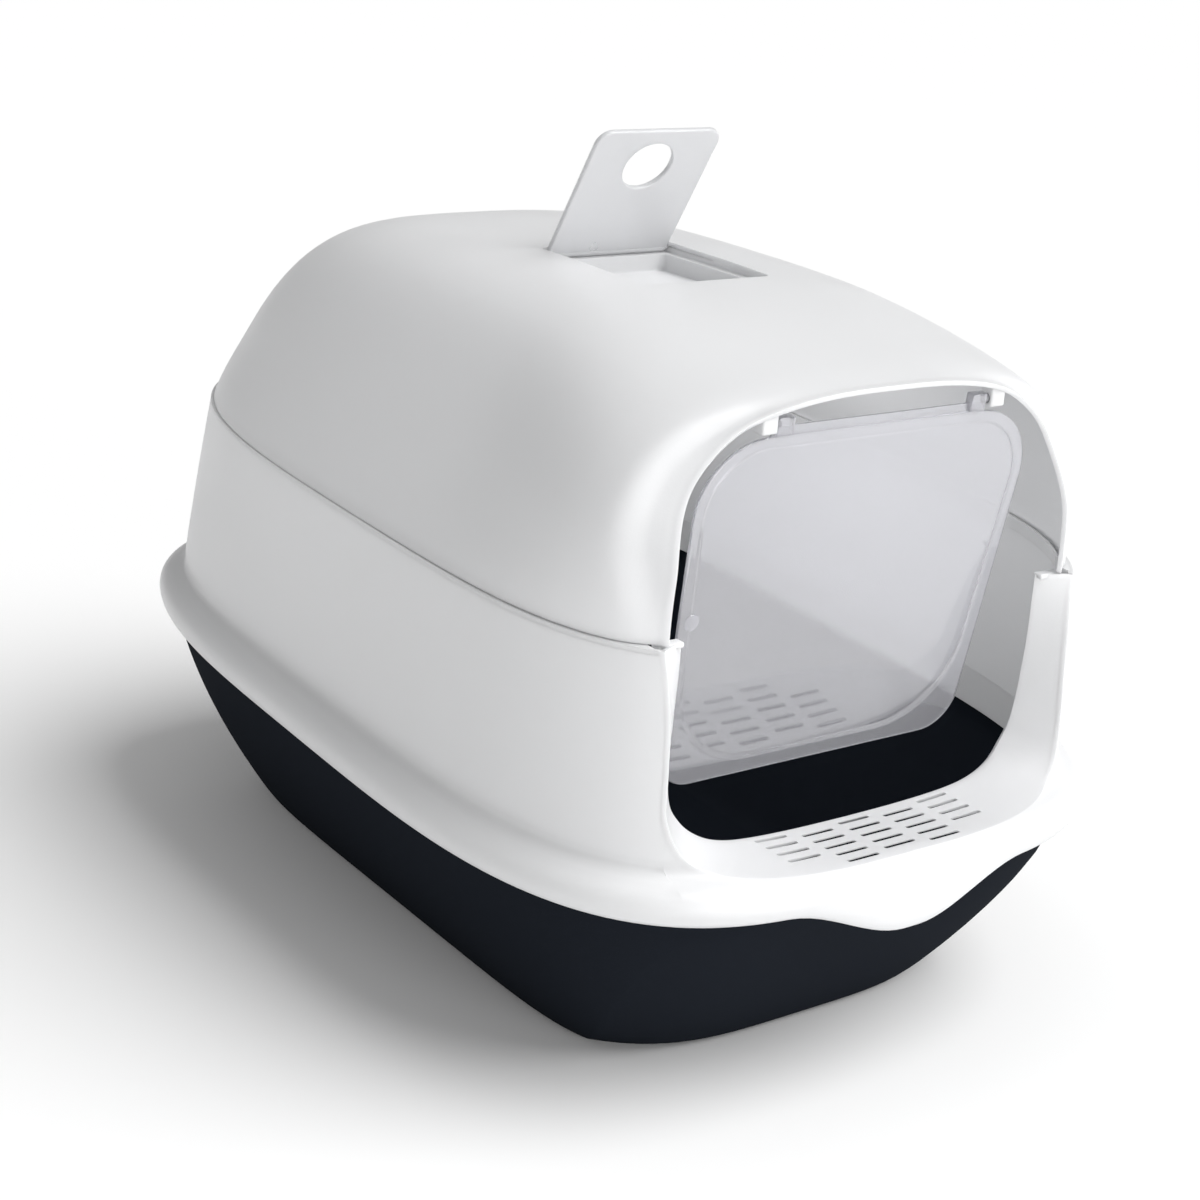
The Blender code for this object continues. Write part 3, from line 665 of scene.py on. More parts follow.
@dataclass
class LowerHood:
    """The lower hood: rim, walls, flared entry and slotted step, as one sheet with a wall."""

    seam_inset: float = 0.0212
    tongue_depth: float = 0.0195
    tongue_flare: float = 0.0024
    tongue_flat: float = 0.004
    tongue_end: float = 0.076
    ridge: float = 0.0140
    slot_length: float = 0.0200
    slot_width: float = 0.0028
    slot_pitch: float = 0.0266
    slot_row: float = 0.00844
    slot_first_y: float = -0.2291
    slot_columns: tuple[tuple[int, float], ...] = ((4, -0.05), (5, 0.42), (5, 0.0), (5, 0.42), (4, -0.05))
    step_columns: int = 44
    side_columns: int = 30
    back_columns: int = 100
    corner_rows: int = 20
    post_rows: int = 26
    flare_rows: int = 12

    def __post_init__(self) -> None:
        """Lays out the section of the rim and wall, and the entry's two outlines."""
        self.wall_height = LINES.seam_height - LINES.rim_height
        self.inset = Course([
            (0.0, 0.0047), (0.002, 0.0024), (0.0042, 0.0011), (0.009, 0.0), (0.0128, 0.0007), (0.0162, 0.0028),
            (0.0188, 0.0066), (0.0207, 0.0112), (0.0225, 0.0141), (0.0252, 0.0157), (0.0300, 0.0166),
            (0.0420, 0.0171), (self.wall_height, self.seam_inset),
        ])
        crease = ((0, 125.6), (25, 125.6), (56, 126), (85, 127), (104, 128.8), (113, 131.4), (119, 135), (123.3, 140),
                  (127.4, 150), (129.0, 160), (128.6, 180), (128.6, 200), (129.8, 220), (131.4, 236))
        mouth = ((0, -224, 123.4), (25, -224, 123.6), (52, -224, 124.5), (72, -224, 126.2), (86, -223.8, 129.3),
                 (95.5, -223.3, 133.5), (101.9, -222, 138), (106.0, -221, 142.5), (110.8, -220.6, 150),
                 (113.3, -220.8, 160), (114.7, -221.6, 180), (114.8, -222.6, 200), (114.3, -223, 220),
                 (114.2, -223, 235.2))
        index = range(len(crease))
        self.crease_x = Course([(i, crease[i][0] / 1000) for i in index])
        self.crease_z = Course([(i, crease[i][1] / 1000) for i in index])
        self.mouth_x = Course([(i, mouth[i][0] / 1000) for i in index])
        self.mouth_y = Course([(i, mouth[i][1] / 1000) for i in index])
        self.mouth_z = Course([(i, mouth[i][2] / 1000) for i in index])
        self.corner_index, self.top_index = 9.0, 13.0

    def powers(self, height: float) -> tuple[float, float]:
        """How square the plan is at the front and at the back, at a height over the lower edge."""
        foot = ease(height, 0.019, 0.030)
        up = min(max((height - 0.030) / (self.wall_height - 0.030), 0.0), 1.0)
        front = mix(LINES.rim_power, LINES.plan_power, foot)
        return front, mix(front, LINES.seam_back_power, up)

    def tongue_share(self, x: float, height: float) -> float:
        """How much of the front tongue shows at a place across and a height."""
        return (1 - ease(abs(x), self.tongue_flat, self.tongue_end)) * (1 - ease(height, 0.0, 0.0078))

    def front_point(self, x: float, height: float) -> Point:
        """The outer face at the front, at a place across and a height over the lower edge.

        Args:
            x: place across.
            height: over the lower edge.

        Returns:
            The point there.
        """
        inset, (power, _) = self.inset.at(height), self.powers(height)
        half_x, half_y = LINES.width / 2 - inset, LINES.length / 2 - inset
        y = -half_y * (1 - (abs(x) / half_x) ** power) ** (1 / power)
        share = self.tongue_share(x, height)
        return x, y - self.tongue_flare * share, LINES.rim_z(y) + height - self.tongue_depth * share

    def height_at(self, x: float, z: float) -> float:
        """The height over the lower edge of the front face's point at a given x and z.

        Args:
            x: place across.
            z: height over the floor.

        Returns:
            That height.
        """
        height = z - LINES.rim_z(-0.25)
        for _ in range(12):
            height += z - self.front_point(x, height)[2] if height > 0.009 else 0.001
        return height

    def round_point(self, share: float, edge_x: float, height: float) -> Point:
        """The outer face from the entry's right side (share 0) round the back to its left side (share 1).

        Args:
            share: how far round.
            edge_x: half the entry's width.
            height: over the lower edge.

        Returns:
            The point there.
        """
        inset, (front, back) = self.inset.at(height), self.powers(height)
        half_x, half_y = LINES.width / 2 - inset, LINES.length / 2 - inset
        start = math.acos((edge_x / half_x) ** (front / 2))
        side = self.side_columns / (2 * self.side_columns + self.back_columns)
        if share < side:
            x, y = power_point(half_x, half_y, front, -start * (1 - share / side) ** 1.3)
        elif share > 1 - side:
            x, y = power_point(half_x, half_y, front, math.pi + start * ((share - 1 + side) / side) ** 1.3)
        else:
            x, y = power_point(half_x, half_y, back, math.pi * (share - side) / (1 - 2 * side))
        return x, y, LINES.rim_z(y) + height

    def full_row(self, fraction: Callable[[float], float], edge_x: float) -> list[Point]:
        """A ring round the whole hood.

        Args:
            fraction: gives the height for each place along the entry's crease, by its index.
            edge_x: half the entry's width at its corner.

        Returns:
            Its points: across the front from left to right, then round the back.
        """
        marks = spread(-self.corner_index, self.corner_index, 2 * self.step_columns + 1)
        row = [self.front_point(math.copysign(self.crease_x.at(abs(m)), m), fraction(abs(m))) for m in marks]
        count = 2 * self.side_columns + self.back_columns
        side_height = fraction(self.corner_index)
        return row + [self.round_point(i / count, edge_x, side_height) for i in range(1, count)]

    def sheet(self) -> bpy.types.Object:
        """The outer sheet, from the lower edge up to the seam and in to the entry's mouth.

        Returns:
            The sheet, with no wall yet.
        """
        edge_x = self.crease_x.at(self.corner_index)
        marks = [i / self.step_columns * self.corner_index for i in range(self.step_columns + 1)]
        tops = {round(m, 6): self.height_at(self.crease_x.at(m), self.crease_z.at(m)) for m in marks}
        skin = Skin()
        rim = [0.0, 0.0010, 0.0021, 0.0033, 0.0046, 0.0060, 0.0075, 0.0090, 0.0106, 0.0123, self.ridge]
        skin.start_ring(self.full_row(lambda m: rim[0], edge_x))
        for height in rim[1:]:
            skin.extrude_to(self.full_row(lambda m: height, edge_x))
        for step in range(1, self.corner_rows + 1):
            share = step / self.corner_rows
            ring = skin.extrude_to(self.full_row(lambda m: mix(self.ridge, tops[round(m, 6)], share), edge_x))
        front, around = 2 * self.step_columns + 1, len(ring)
        posts = spread(self.corner_index, self.top_index, self.post_rows + 1)[1:]
        skin.row, skin.closed = [ring[front - 1], *ring[front:], ring[0]], False
        sides: list[tuple[bmesh.types.BMVert, bmesh.types.BMVert]] = []
        for mark in posts:
            x = self.crease_x.at(mark)
            height = self.height_at(x, self.crease_z.at(mark)) if mark < self.top_index else self.wall_height
            count = around - front + 1
            made = skin.extrude_to([self.round_point(i / count, x, height) for i in range(count + 1)])
            sides.append((made[-1], made[0]))
        line = [left for left, _ in reversed(sides)] + ring[:front] + [right for _, right in sides]
        crease = [skin.bm.edges.get(pair) for pair in zip(line, line[1:])]
        skin.row, skin.closed = line, False
        indices = spread(-self.top_index, -self.corner_index, self.post_rows + 1)[:-1]
        indices += spread(-self.corner_index, self.corner_index, front)
        indices += spread(self.corner_index, self.top_index, self.post_rows + 1)[1:]
        starts = [vert.co.copy() for vert in line]
        for step in range(1, self.flare_rows + 1):
            share = step / self.flare_rows
            skin.extrude_to([tuple(start.lerp(self.mouth_point(m), share)) for start, m in zip(starts, indices)])
        for back, out in ((0.0012, 0.0004), (0.0022, 0.0014)):
            skin.extrude_to([self.rolled(m, back, out) for m in indices])
        bmesh.ops.bevel(
            skin.bm, geom=crease, offset=0.0022, segments=4, profile=0.5, affect="EDGES", material=-1,
            clamp_overlap=True,
        )
        skin.face_away_from((0.0, 0.05, 0.18))
        return skin.to_object("lower_hood_shell")

    def mouth_point(self, mark: float) -> Vector:
        """The entry's mouth at an index, negative on the left."""
        side = abs(mark)
        return Vector((math.copysign(self.mouth_x.at(side), mark), self.mouth_y.at(side), self.mouth_z.at(side)))

    def rolled(self, mark: float, back: float, out: float) -> Point:
        """The mouth's edge, rolled back and outwards by small amounts."""
        here = self.mouth_point(mark)
        turn = ease(abs(mark), 3.0, 8.5)
        return here.x + math.copysign(out * turn, mark), here.y + back, here.z - out * (1 - turn)

    def lip(self) -> bpy.types.Object:
        """The inner lip that drops inside the tray's edge.

        Returns:
            A closed ring.
        """
        rings = []
        for inset, height in ((0.0192, 0.0085), (0.0172, 0.0085), (0.0172, 0.0300), (0.0192, 0.0300)):
            ring = []
            for i in range(240):
                angle = math.tau * i / 240
                power = LINES.plan_power
                x, y = power_point(LINES.width / 2 - inset, LINES.length / 2 - inset, power, angle)
                drop = 0.0195 * (1 - ease(y, -0.250, -0.215)) if height > 0.01 else 0.0
                ring.append((x, y, LINES.rim_z(y) + height - drop))
            rings.append(ring)
        skin = Skin()
        skin.loft(rings)
        return skin.to_object("tray_lip")

    def spigot(self) -> bpy.types.Object:
        """The ledge under the seam and the low spigot that the upper hood drops over.

        Returns:
            A ring that is open at the entry.
        """
        section = ((0.0211, -0.0026), (0.0211, -0.0001), (0.0261, -0.0001), (0.0277, 0.0046), (0.0292, 0.0046),
                   (0.0283, -0.0026))
        rings = []
        for inset, height in section:
            ring = []
            for i in range(260):
                angle = math.tau * i / 260
                power = LINES.seam_back_power if 0 < angle < math.pi else LINES.plan_power
                x, y = power_point(LINES.width / 2 - inset, LINES.length / 2 - inset, power, angle)
                ring.append((x, y, LINES.seam_z(y) + height))
            rings.append(ring)
        skin = Skin()
        skin.loft(rings)
        piece = skin.to_object("seam_spigot")
        cutter = Skin()
        cutter.add_block((-0.1335, -0.30, 0.20), (0.1335, -0.20, 0.30))
        combine(piece, cutter.to_object("entry_gap"), "DIFFERENCE")
        return piece

    def shelf(self, side: int) -> bpy.types.Object:
        """The small shelf at the top of an entry post, under the visor's tip.

        Args:
            side: -1 for the left, 1 for the right.

        Returns:
            The shelf.
        """
        skin = Skin()
        low_x, high_x = sorted((side * 0.1150, side * 0.1300))
        skin.add_block((low_x, -0.2266, 0.2332), (high_x, -0.2205, 0.2361), 0.0010)
        skin.face_out()
        return skin.to_object("post_shelf_right" if side > 0 else "post_shelf_left")

    def step_relief(self) -> bpy.types.Object:
        """The cutter that thins the step from below, so that its slots read as dark lines.

        Returns:
            The cutter.
        """
        skin = Skin()
        skin.add_block((-0.066, -0.2665, 0.1170), (0.066, -0.2265, 0.1237))
        for vert in skin.bm.verts:
            if vert.co.z > 0.12:
                vert.co.z -= 0.042 * (vert.co.y + 0.2465)
        skin.face_out()
        return skin.to_object("step_relief")

    def slots(self) -> bpy.types.Object:
        """All the step's slots as one cutter.

        Returns:
            The cutter.
        """
        skin = Skin()
        middle = len(self.slot_columns) // 2
        half = self.slot_length / 2 - self.slot_width / 2
        for column, (rows, shift) in enumerate(self.slot_columns):
            for row in range(rows):
                x = (column - middle) * self.slot_pitch
                y = self.slot_first_y - (row + shift) * self.slot_row
                made = bmesh.ops.create_cone(
                    skin.bm, cap_ends=True, segments=20, radius1=self.slot_width / 2, radius2=self.slot_width / 2,
                    depth=0.0096, matrix=Matrix.Translation((x, y, 0.1248)) @ Matrix.Rotation(0.157, 4, "Z"),
                )["verts"]
                for vert in made:
                    vert.co.x += half if vert.co.x > x else -half
        skin.face_out()
        return skin.to_object("slot_cutter")

    def build(self) -> None:
        """Builds and dresses the lower hood."""
        hood = self.sheet()
        thicken(hood, LINES.wall, rounding=0.0007)
        combine(hood, self.step_relief(), "DIFFERENCE")
        combine(hood, self.slots(), "DIFFERENCE")
        install(hood, Body.HOOD_LOWER, HOOD_WHITE, "lower_hood", sharp=38.0)
        for extra in (self.lip(), self.spigot(), self.shelf(-1), self.shelf(1)):
            install(extra, Body.HOOD_LOWER, HOOD_WHITE)


# ---- upper hood ----------------------------------------------------------------------------


@dataclass
class UpperHood:
    """The dome with its visor, the handle's seat and pocket, and the clips for the flap's pins."""

    visor_y: float = -0.2294
    visor_top: float = 0.3455
    visor_bow: float = 0.0084
    dome_top: float = 0.3676
    dome_back: float = 0.2570
    back_power: float = 3.14
    gap: float = 0.0004
    side_columns: int = 70
    back_columns: int = 70
    rows: int = 64
    seat_half: float = 0.0412
    seat_front: float = -0.0780
    seat_back: float = 0.0166
    seat_floor: float = 0.3618
    pocket_half: float = 0.0370
    pocket_front: float = -0.0640
    pocket_back: float = 0.0085
    pocket_floor: float = 0.3525
    clip_y: float = -0.218
    clip_z: float = 0.332

    def __post_init__(self) -> None:
        """Lays out the dome's plan and roof line."""
        self.half_width = Course([
            (self.visor_y, 0.1253), (-0.2280, 0.1275), (-0.2262, 0.1300), (-0.2232, 0.1345), (-0.2185, 0.1405),
            (-0.2100, 0.1474), (-0.1960, 0.1546), (-0.1740, 0.1619), (-0.1450, 0.1672), (-0.1120, 0.1702),
            (-0.0740, 0.1717), (-0.0350, 0.1723), (0.0, 0.1725),
        ])
        self.roof = Course([
            (self.visor_y, self.visor_top), (-0.212, 0.3484), (-0.180, 0.3541), (-0.155, 0.3585), (-0.130, 0.3621),
            (-0.100, 0.3650), (-0.070, 0.3665), (-0.035, 0.3673), (0.0, self.dome_top),
        ])

    def level(self, share: float) -> tuple[float, float, float, float]:
        """The shares of height, body width, visor width and back length at a share of the way over the dome.

        Args:
            share: 0 at the seam, 1 at the top.

        Returns:
            The four shares.
        """
        turn = math.sin(share * math.pi / 2)
        if share > 0.72:
            width = mix(self.body_width(math.sin(0.72 * math.pi / 2)), 0.0, (share - 0.72) / 0.28)
            height = (1 - width**5.75) ** (1 / 0.613)
        else:
            height = turn
            width = self.body_width(height)
        visor = (1 - min(height, 1.0) ** 3) ** (1 / 3)
        back = (1 - min(height, 1.0) ** 1.4) ** (1 / 5)
        return height, width, visor, back

    def body_width(self, height: float) -> float:
        """The share of its full width that the dome's middle has at a share of its height."""
        lean = ease(height, 0.0, 0.35)
        return mix(1 - 0.28 * height, (1 - height**0.613) ** (1 / 5.75), lean)

    def lip_lift(self, y: float, height: float) -> float:
        """How far the surface stands out at the visor's beaded edge, and in at the hollow behind it.

        Args:
            y: place along the box.
            height: share of the dome's height.

        Returns:
            The distance, negative inwards.
        """
        back = y - self.visor_y
        bead = 0.0010 * math.exp(-((back / 0.0030) ** 2))
        reach = mix(0.0070, 0.0120, ease(height, 0.05, 0.45) * (1 - ease(height, 0.75, 1.0)))
        hollow = 0.0050 * math.exp(-(((back - reach) / (0.62 * reach)) ** 2))
        hollow *= ease(height, 0.02, 0.30) * (1 - ease(height, 0.80, 1.0))
        return bead * (1 - 0.5 * ease(height, 0.9, 1.0)) - hollow

    def row(self, share: float) -> list[Point]:
        """One level of the dome's right half, from the visor round to the middle of the back.

        Args:
            share: 0 at the seam, 1 at the top.

        Returns:
            Its points.
        """
        height, width, visor, back = self.level(share)
        points = []
        for i in range(self.side_columns + 1):
            t = i / self.side_columns
            y = mix(self.visor_y, 0.0, t**1.9)
            half = self.half_width.at(y)
            x = half * mix(visor, width, ease(y, self.visor_y, self.visor_y + 0.155))
            bulge = ease(height, 0.27, 0.67) * (1 - 0.6 * ease(height, 0.85, 1.0))
            bow = self.visor_bow * bulge * (1 - ease(y, self.visor_y, self.visor_y + 0.03))
            low = LINES.seam_z(y) + self.gap
            z = mix(low, self.roof.at(y), height)
            lift = self.lip_lift(y, height)
            slope = visor ** 2
            points.append((max(x + lift * slope, 0.0) if x > 0 else 0.0, y + bow, z + lift * (1 - slope)))
        widest = self.half_width.at(0.0)
        power = mix(LINES.seam_back_power, self.back_power, height)
        for i in range(1, self.back_columns + 1):
            x, y = power_point(widest * width, self.dome_back * back, power, math.pi / 2 * i / self.back_columns)
            z = mix(LINES.seam_height + self.gap, self.dome_top, height) + LINES.rise * y * (1 - height)
            points.append((x, y, z))
        return points

    def dome(self) -> bpy.types.Object:
        """The dome's outer sheet, mirrored and given its wall.

        Returns:
            The dome.
        """
        skin = Skin()
        skin.start_row(self.row(0.0))
        for i in range(1, self.rows + 1):
            skin.extrude_to(self.row(i / self.rows))
        half = skin.bm.faces[:] + skin.bm.edges[:] + skin.bm.verts[:]
        bmesh.ops.mirror(skin.bm, geom=half, axis="X", merge_dist=0.00002)
        bmesh.ops.remove_doubles(skin.bm, verts=skin.bm.verts, dist=0.00003)
        bmesh.ops.dissolve_degenerate(skin.bm, edges=skin.bm.edges, dist=0.00003)
        skin.face_away_from((0.0, 0.0, 0.24))
        dome = skin.to_object("upper_hood_shell")
        thicken(dome, LINES.wall, rounding=0.0007)
        return dome

    def blocks(self) -> bpy.types.Object:
        """The thicker roof under the seat and the pocket.

        Returns:
            A block to join to the dome.
        """
        skin = Skin()
        wall = LINES.wall
        skin.add_block(
            (-self.seat_half - wall, self.seat_front - wall, self.seat_floor - wall),
            (self.seat_half + wall, self.seat_back + wall, 0.3648), 0.001,
        )
        return skin.to_object("seat_block")

    def pocket_block(self) -> bpy.types.Object:
        """The walls and floor of the finger pocket.

        Returns:
            A block to join to the dome.
        """
        skin = Skin()
        wall = LINES.wall
        skin.add_block(
            (-self.pocket_half - wall, self.pocket_front - wall, self.pocket_floor - wall),
            (self.pocket_half + wall, self.pocket_back + wall, self.seat_floor - 0.0005), 0.0015,
        )
        return skin.to_object("pocket_block")

    def hollow(self, low: Point, high: Point, radius: float) -> bpy.types.Object:
        """A cutter with rounded upright edges and a rounded floor.

        Args:
            low: its lowest corner.
            high: its highest corner.
            radius: of its upright edges.

        Returns:
            The cutter.
        """
        skin = Skin()
        skin.add_block(low, high)
        upright = [e for e in skin.bm.edges if abs(e.verts[0].co.z - e.verts[1].co.z) > 0.001]
        bmesh.ops.bevel(
            skin.bm, geom=upright, offset=radius, segments=6, profile=0.5, affect="EDGES", material=-1
        )
        foot = [e for e in skin.bm.edges if max(v.co.z for v in e.verts) < low[2] + 0.0001]
        bmesh.ops.bevel(skin.bm, geom=foot, offset=0.0008, segments=3, profile=0.5, affect="EDGES", material=-1)
        return skin.to_object("hollow")

    def clip(self, side: int) -> bpy.types.Object:
        """One hinge clip on the underside of the visor, with its bore.

        Args:
            side: -1 for the left, 1 for the right.

        Returns:
            The clip.
        """
        skin = Skin()
        low_x, high_x = sorted((side * 0.0675, side * 0.0765))
        skin.add_block(
            (low_x, self.clip_y - 0.0042, self.clip_z - 0.0040),
            (high_x, self.clip_y + 0.0042, self.clip_z + 0.0055), 0.0011,
        )
        piece = skin.to_object("clip_right" if side > 0 else "clip_left")
        bore = Skin()
        bore.add_rod(side * 0.0655, side * 0.0745, self.clip_y, self.clip_z, 0.0027, 0.0001)
        bore.face_out()
        combine(piece, bore.to_object("bore"), "DIFFERENCE")
        return piece

    def build(self) -> None:
        """Builds and dresses the upper hood."""
        dome = self.dome()
        combine(dome, self.blocks(), "UNION")
        combine(dome, self.pocket_block(), "UNION")
        seat = self.hollow(
            (-self.seat_half, self.seat_front, self.seat_floor), (self.seat_half, self.seat_back, 0.39), 0.003
        )
        combine(dome, seat, "DIFFERENCE")
        pocket = self.hollow(
            (-self.pocket_half, self.pocket_front, self.pocket_floor),
            (self.pocket_half, self.pocket_back, 0.3640), 0.004,
        )
        combine(dome, pocket, "DIFFERENCE")
        install(dome, Body.HOOD_UPPER, HOOD_WHITE, "upper_hood", sharp=38.0)
        for side in (-1, 1):
            install(self.clip(side), Body.HOOD_UPPER, HOOD_WHITE)


# ---- flap ----------------------------------------------------------------------------------


@dataclass
class Flap:
    """The hanging flap: a plate with a raised band, and two lugs with pins."""

    axis_y: float = -0.218
    axis_z: float = 0.332
    tilt: float = math.radians(8.4)
    thick: float = 0.0022
    half_top: float = 0.1045
    half_foot: float = 0.0985
    drop: float = 0.1905
    top_gap: float = 0.0016
    shoulder: float = 0.0369
    shoulder_drop: float = 0.0066
    foot_radius: float = 0.022
    lug: tuple[float, float] = (0.0560, 0.0660)
    pin_radius: float = 0.0022
    pin_end: float = 0.0735

    def place(self) -> Matrix:
        """Stands the flat plate upright on its axis, leaning in at the foot."""
        lean = Matrix.Rotation(self.tilt, 4, "X") @ Matrix.Rotation(math.pi / 2, 4, "X")
        return Matrix.Translation((0, self.axis_y, self.axis_z)) @ lean

    def half_outline(
        self, inset: float, foot_radius: float, shoulder: float, foot_band: float
    ) -> list[tuple[float, float]]:
        """The right half of an outline inside the plate, from the top middle to the foot middle.

        Args:
            inset: how far inside the plate's edge the outline lies.
            foot_radius: of its lower corner.
            shoulder: of its upper corner.
            foot_band: how far above the plate's foot it ends.

        Returns:
            Its points, across and down from the axis.
        """
        half_top, half_foot = self.half_top - inset, self.half_foot - inset
        top = self.shoulder_drop + inset
        low = self.drop - foot_band
        flat_end, flat_y = (half_top - shoulder, -top) if inset else (self.lug[1] + 0.0004, -self.top_gap)
        points = [(x, flat_y) for x in spread(0.0, flat_end, 14)]
        for i in range(17):
            angle = math.pi / 2 * (1 - i / 16)
            across, down = shoulder * math.cos(angle), shoulder * math.sin(angle)
            points.append((half_top - shoulder + across, -top - shoulder + down))
        for i in range(1, 12):
            share = i / 12
            start, end = (half_top, -top - shoulder), (half_foot, -low + foot_radius)
            points.append((mix(start[0], end[0], share), mix(start[1], end[1], share)))
        for i in range(17):
            angle = -math.pi / 2 * i / 16
            across, down = foot_radius * math.cos(angle), foot_radius * math.sin(angle)
            points.append((half_foot - foot_radius + across, -low + foot_radius + down))
        points += [(x, -low) for x in spread(half_foot - foot_radius, 0.0, 12)[1:]]
        return points

    def ring(self, height: float, inset: float = 0.0, foot_radius: float = 0.022, shoulder: float = 0.0369,
             foot_band: float = 0.0) -> list[Point]:
        """A closed outline at a height over the plate's middle plane, stood in its place.

        Args:
            height: over the middle plane.
            inset: how far inside the edge it lies.
            foot_radius: of its lower corners.
            shoulder: of its upper corners.
            foot_band: how far above the plate's foot it ends.

        Returns:
            Its points.
        """
        half = self.half_outline(inset, foot_radius, shoulder, foot_band)
        flat = half + [(-x, y) for x, y in reversed(half[1:-1])]
        return [tuple(self.place() @ Vector((x, y, height))) for x, y in flat]

    def plate(self) -> bpy.types.Object:
        """The plate, thinner inside its raised band.

        Returns:
            The plate.
        """
        half = self.thick / 2
        recess = 0.00055
        band = [
            (recess, 0.0072, 0.0510, 0.0311, 0.0112), (recess, 0.0062, 0.0520, 0.0320, 0.0100),
            (0.0, 0.0054, 0.0500, 0.0328, 0.0087), (0.0, 0.0048, 0.0496, 0.0334, 0.0080),
            (0.0, 0.0011, 0.0209, 0.0360, 0.0011), (0.0, 0.0006, 0.0214, 0.0365, 0.0006),
            (0.0002, 0.0002, 0.0218, 0.0368, 0.0002), (0.0006, 0.0, self.foot_radius, self.shoulder, 0.0),
        ]
        rings = [self.ring(half - sunk, *shape) for sunk, *shape in band]
        rings += [self.ring(-half + sunk, *shape) for sunk, *shape in reversed(band)]
        skin = Skin()
        skin.loft(rings, capped=True)
        return skin.to_object("flap_plate")

    def fittings(self, side: int) -> bpy.types.Object:
        """One lug with its pin.

        Args:
            side: -1 for the left, 1 for the right.

        Returns:
            The lug.
        """
        skin = Skin()
        low_x, high_x = sorted((side * self.lug[0], side * self.lug[1]))
        skin.add_block((low_x, -0.0026, -0.0060), (high_x, 0.0026, 0.0034), 0.0009)
        skin.add_rod(side * (self.lug[1] - 0.002), side * self.pin_end, 0, 0, self.pin_radius)
        place = Matrix.Translation((0, self.axis_y, self.axis_z)) @ Matrix.Rotation(self.tilt, 4, "X")
        bmesh.ops.transform(skin.bm, matrix=place, verts=skin.bm.verts)
        skin.face_out()
        return skin.to_object("lug_right" if side > 0 else "lug_left")

    def gate_mark(self) -> bpy.types.Object:
        """The small round mark left where the plastic entered the mould.

        Returns:
            A shallow disc.
        """
        skin = Skin()
        place = self.place() @ Matrix.Translation((-0.0945, -0.098, self.thick / 2))
        bmesh.ops.create_cone(
            skin.bm, cap_ends=True, segments=48, radius1=0.0044, radius2=0.0042, depth=0.0003, matrix=place
        )
        skin.face_out()
        return skin.to_object("flap_gate_mark")

    def build(self) -> None:
        """Builds and dresses the flap."""
        install(self.plate(), Body.DOOR, FLAP_SMOKE, "flap_door", sharp=60.0)
        install(self.gate_mark(), Body.DOOR, FLAP_SMOKE)
        for side in (-1, 1):
            install(self.fittings(side), Body.DOOR, FLAP_SMOKE)


# ---- handle --------------------------------------------------------------------------------


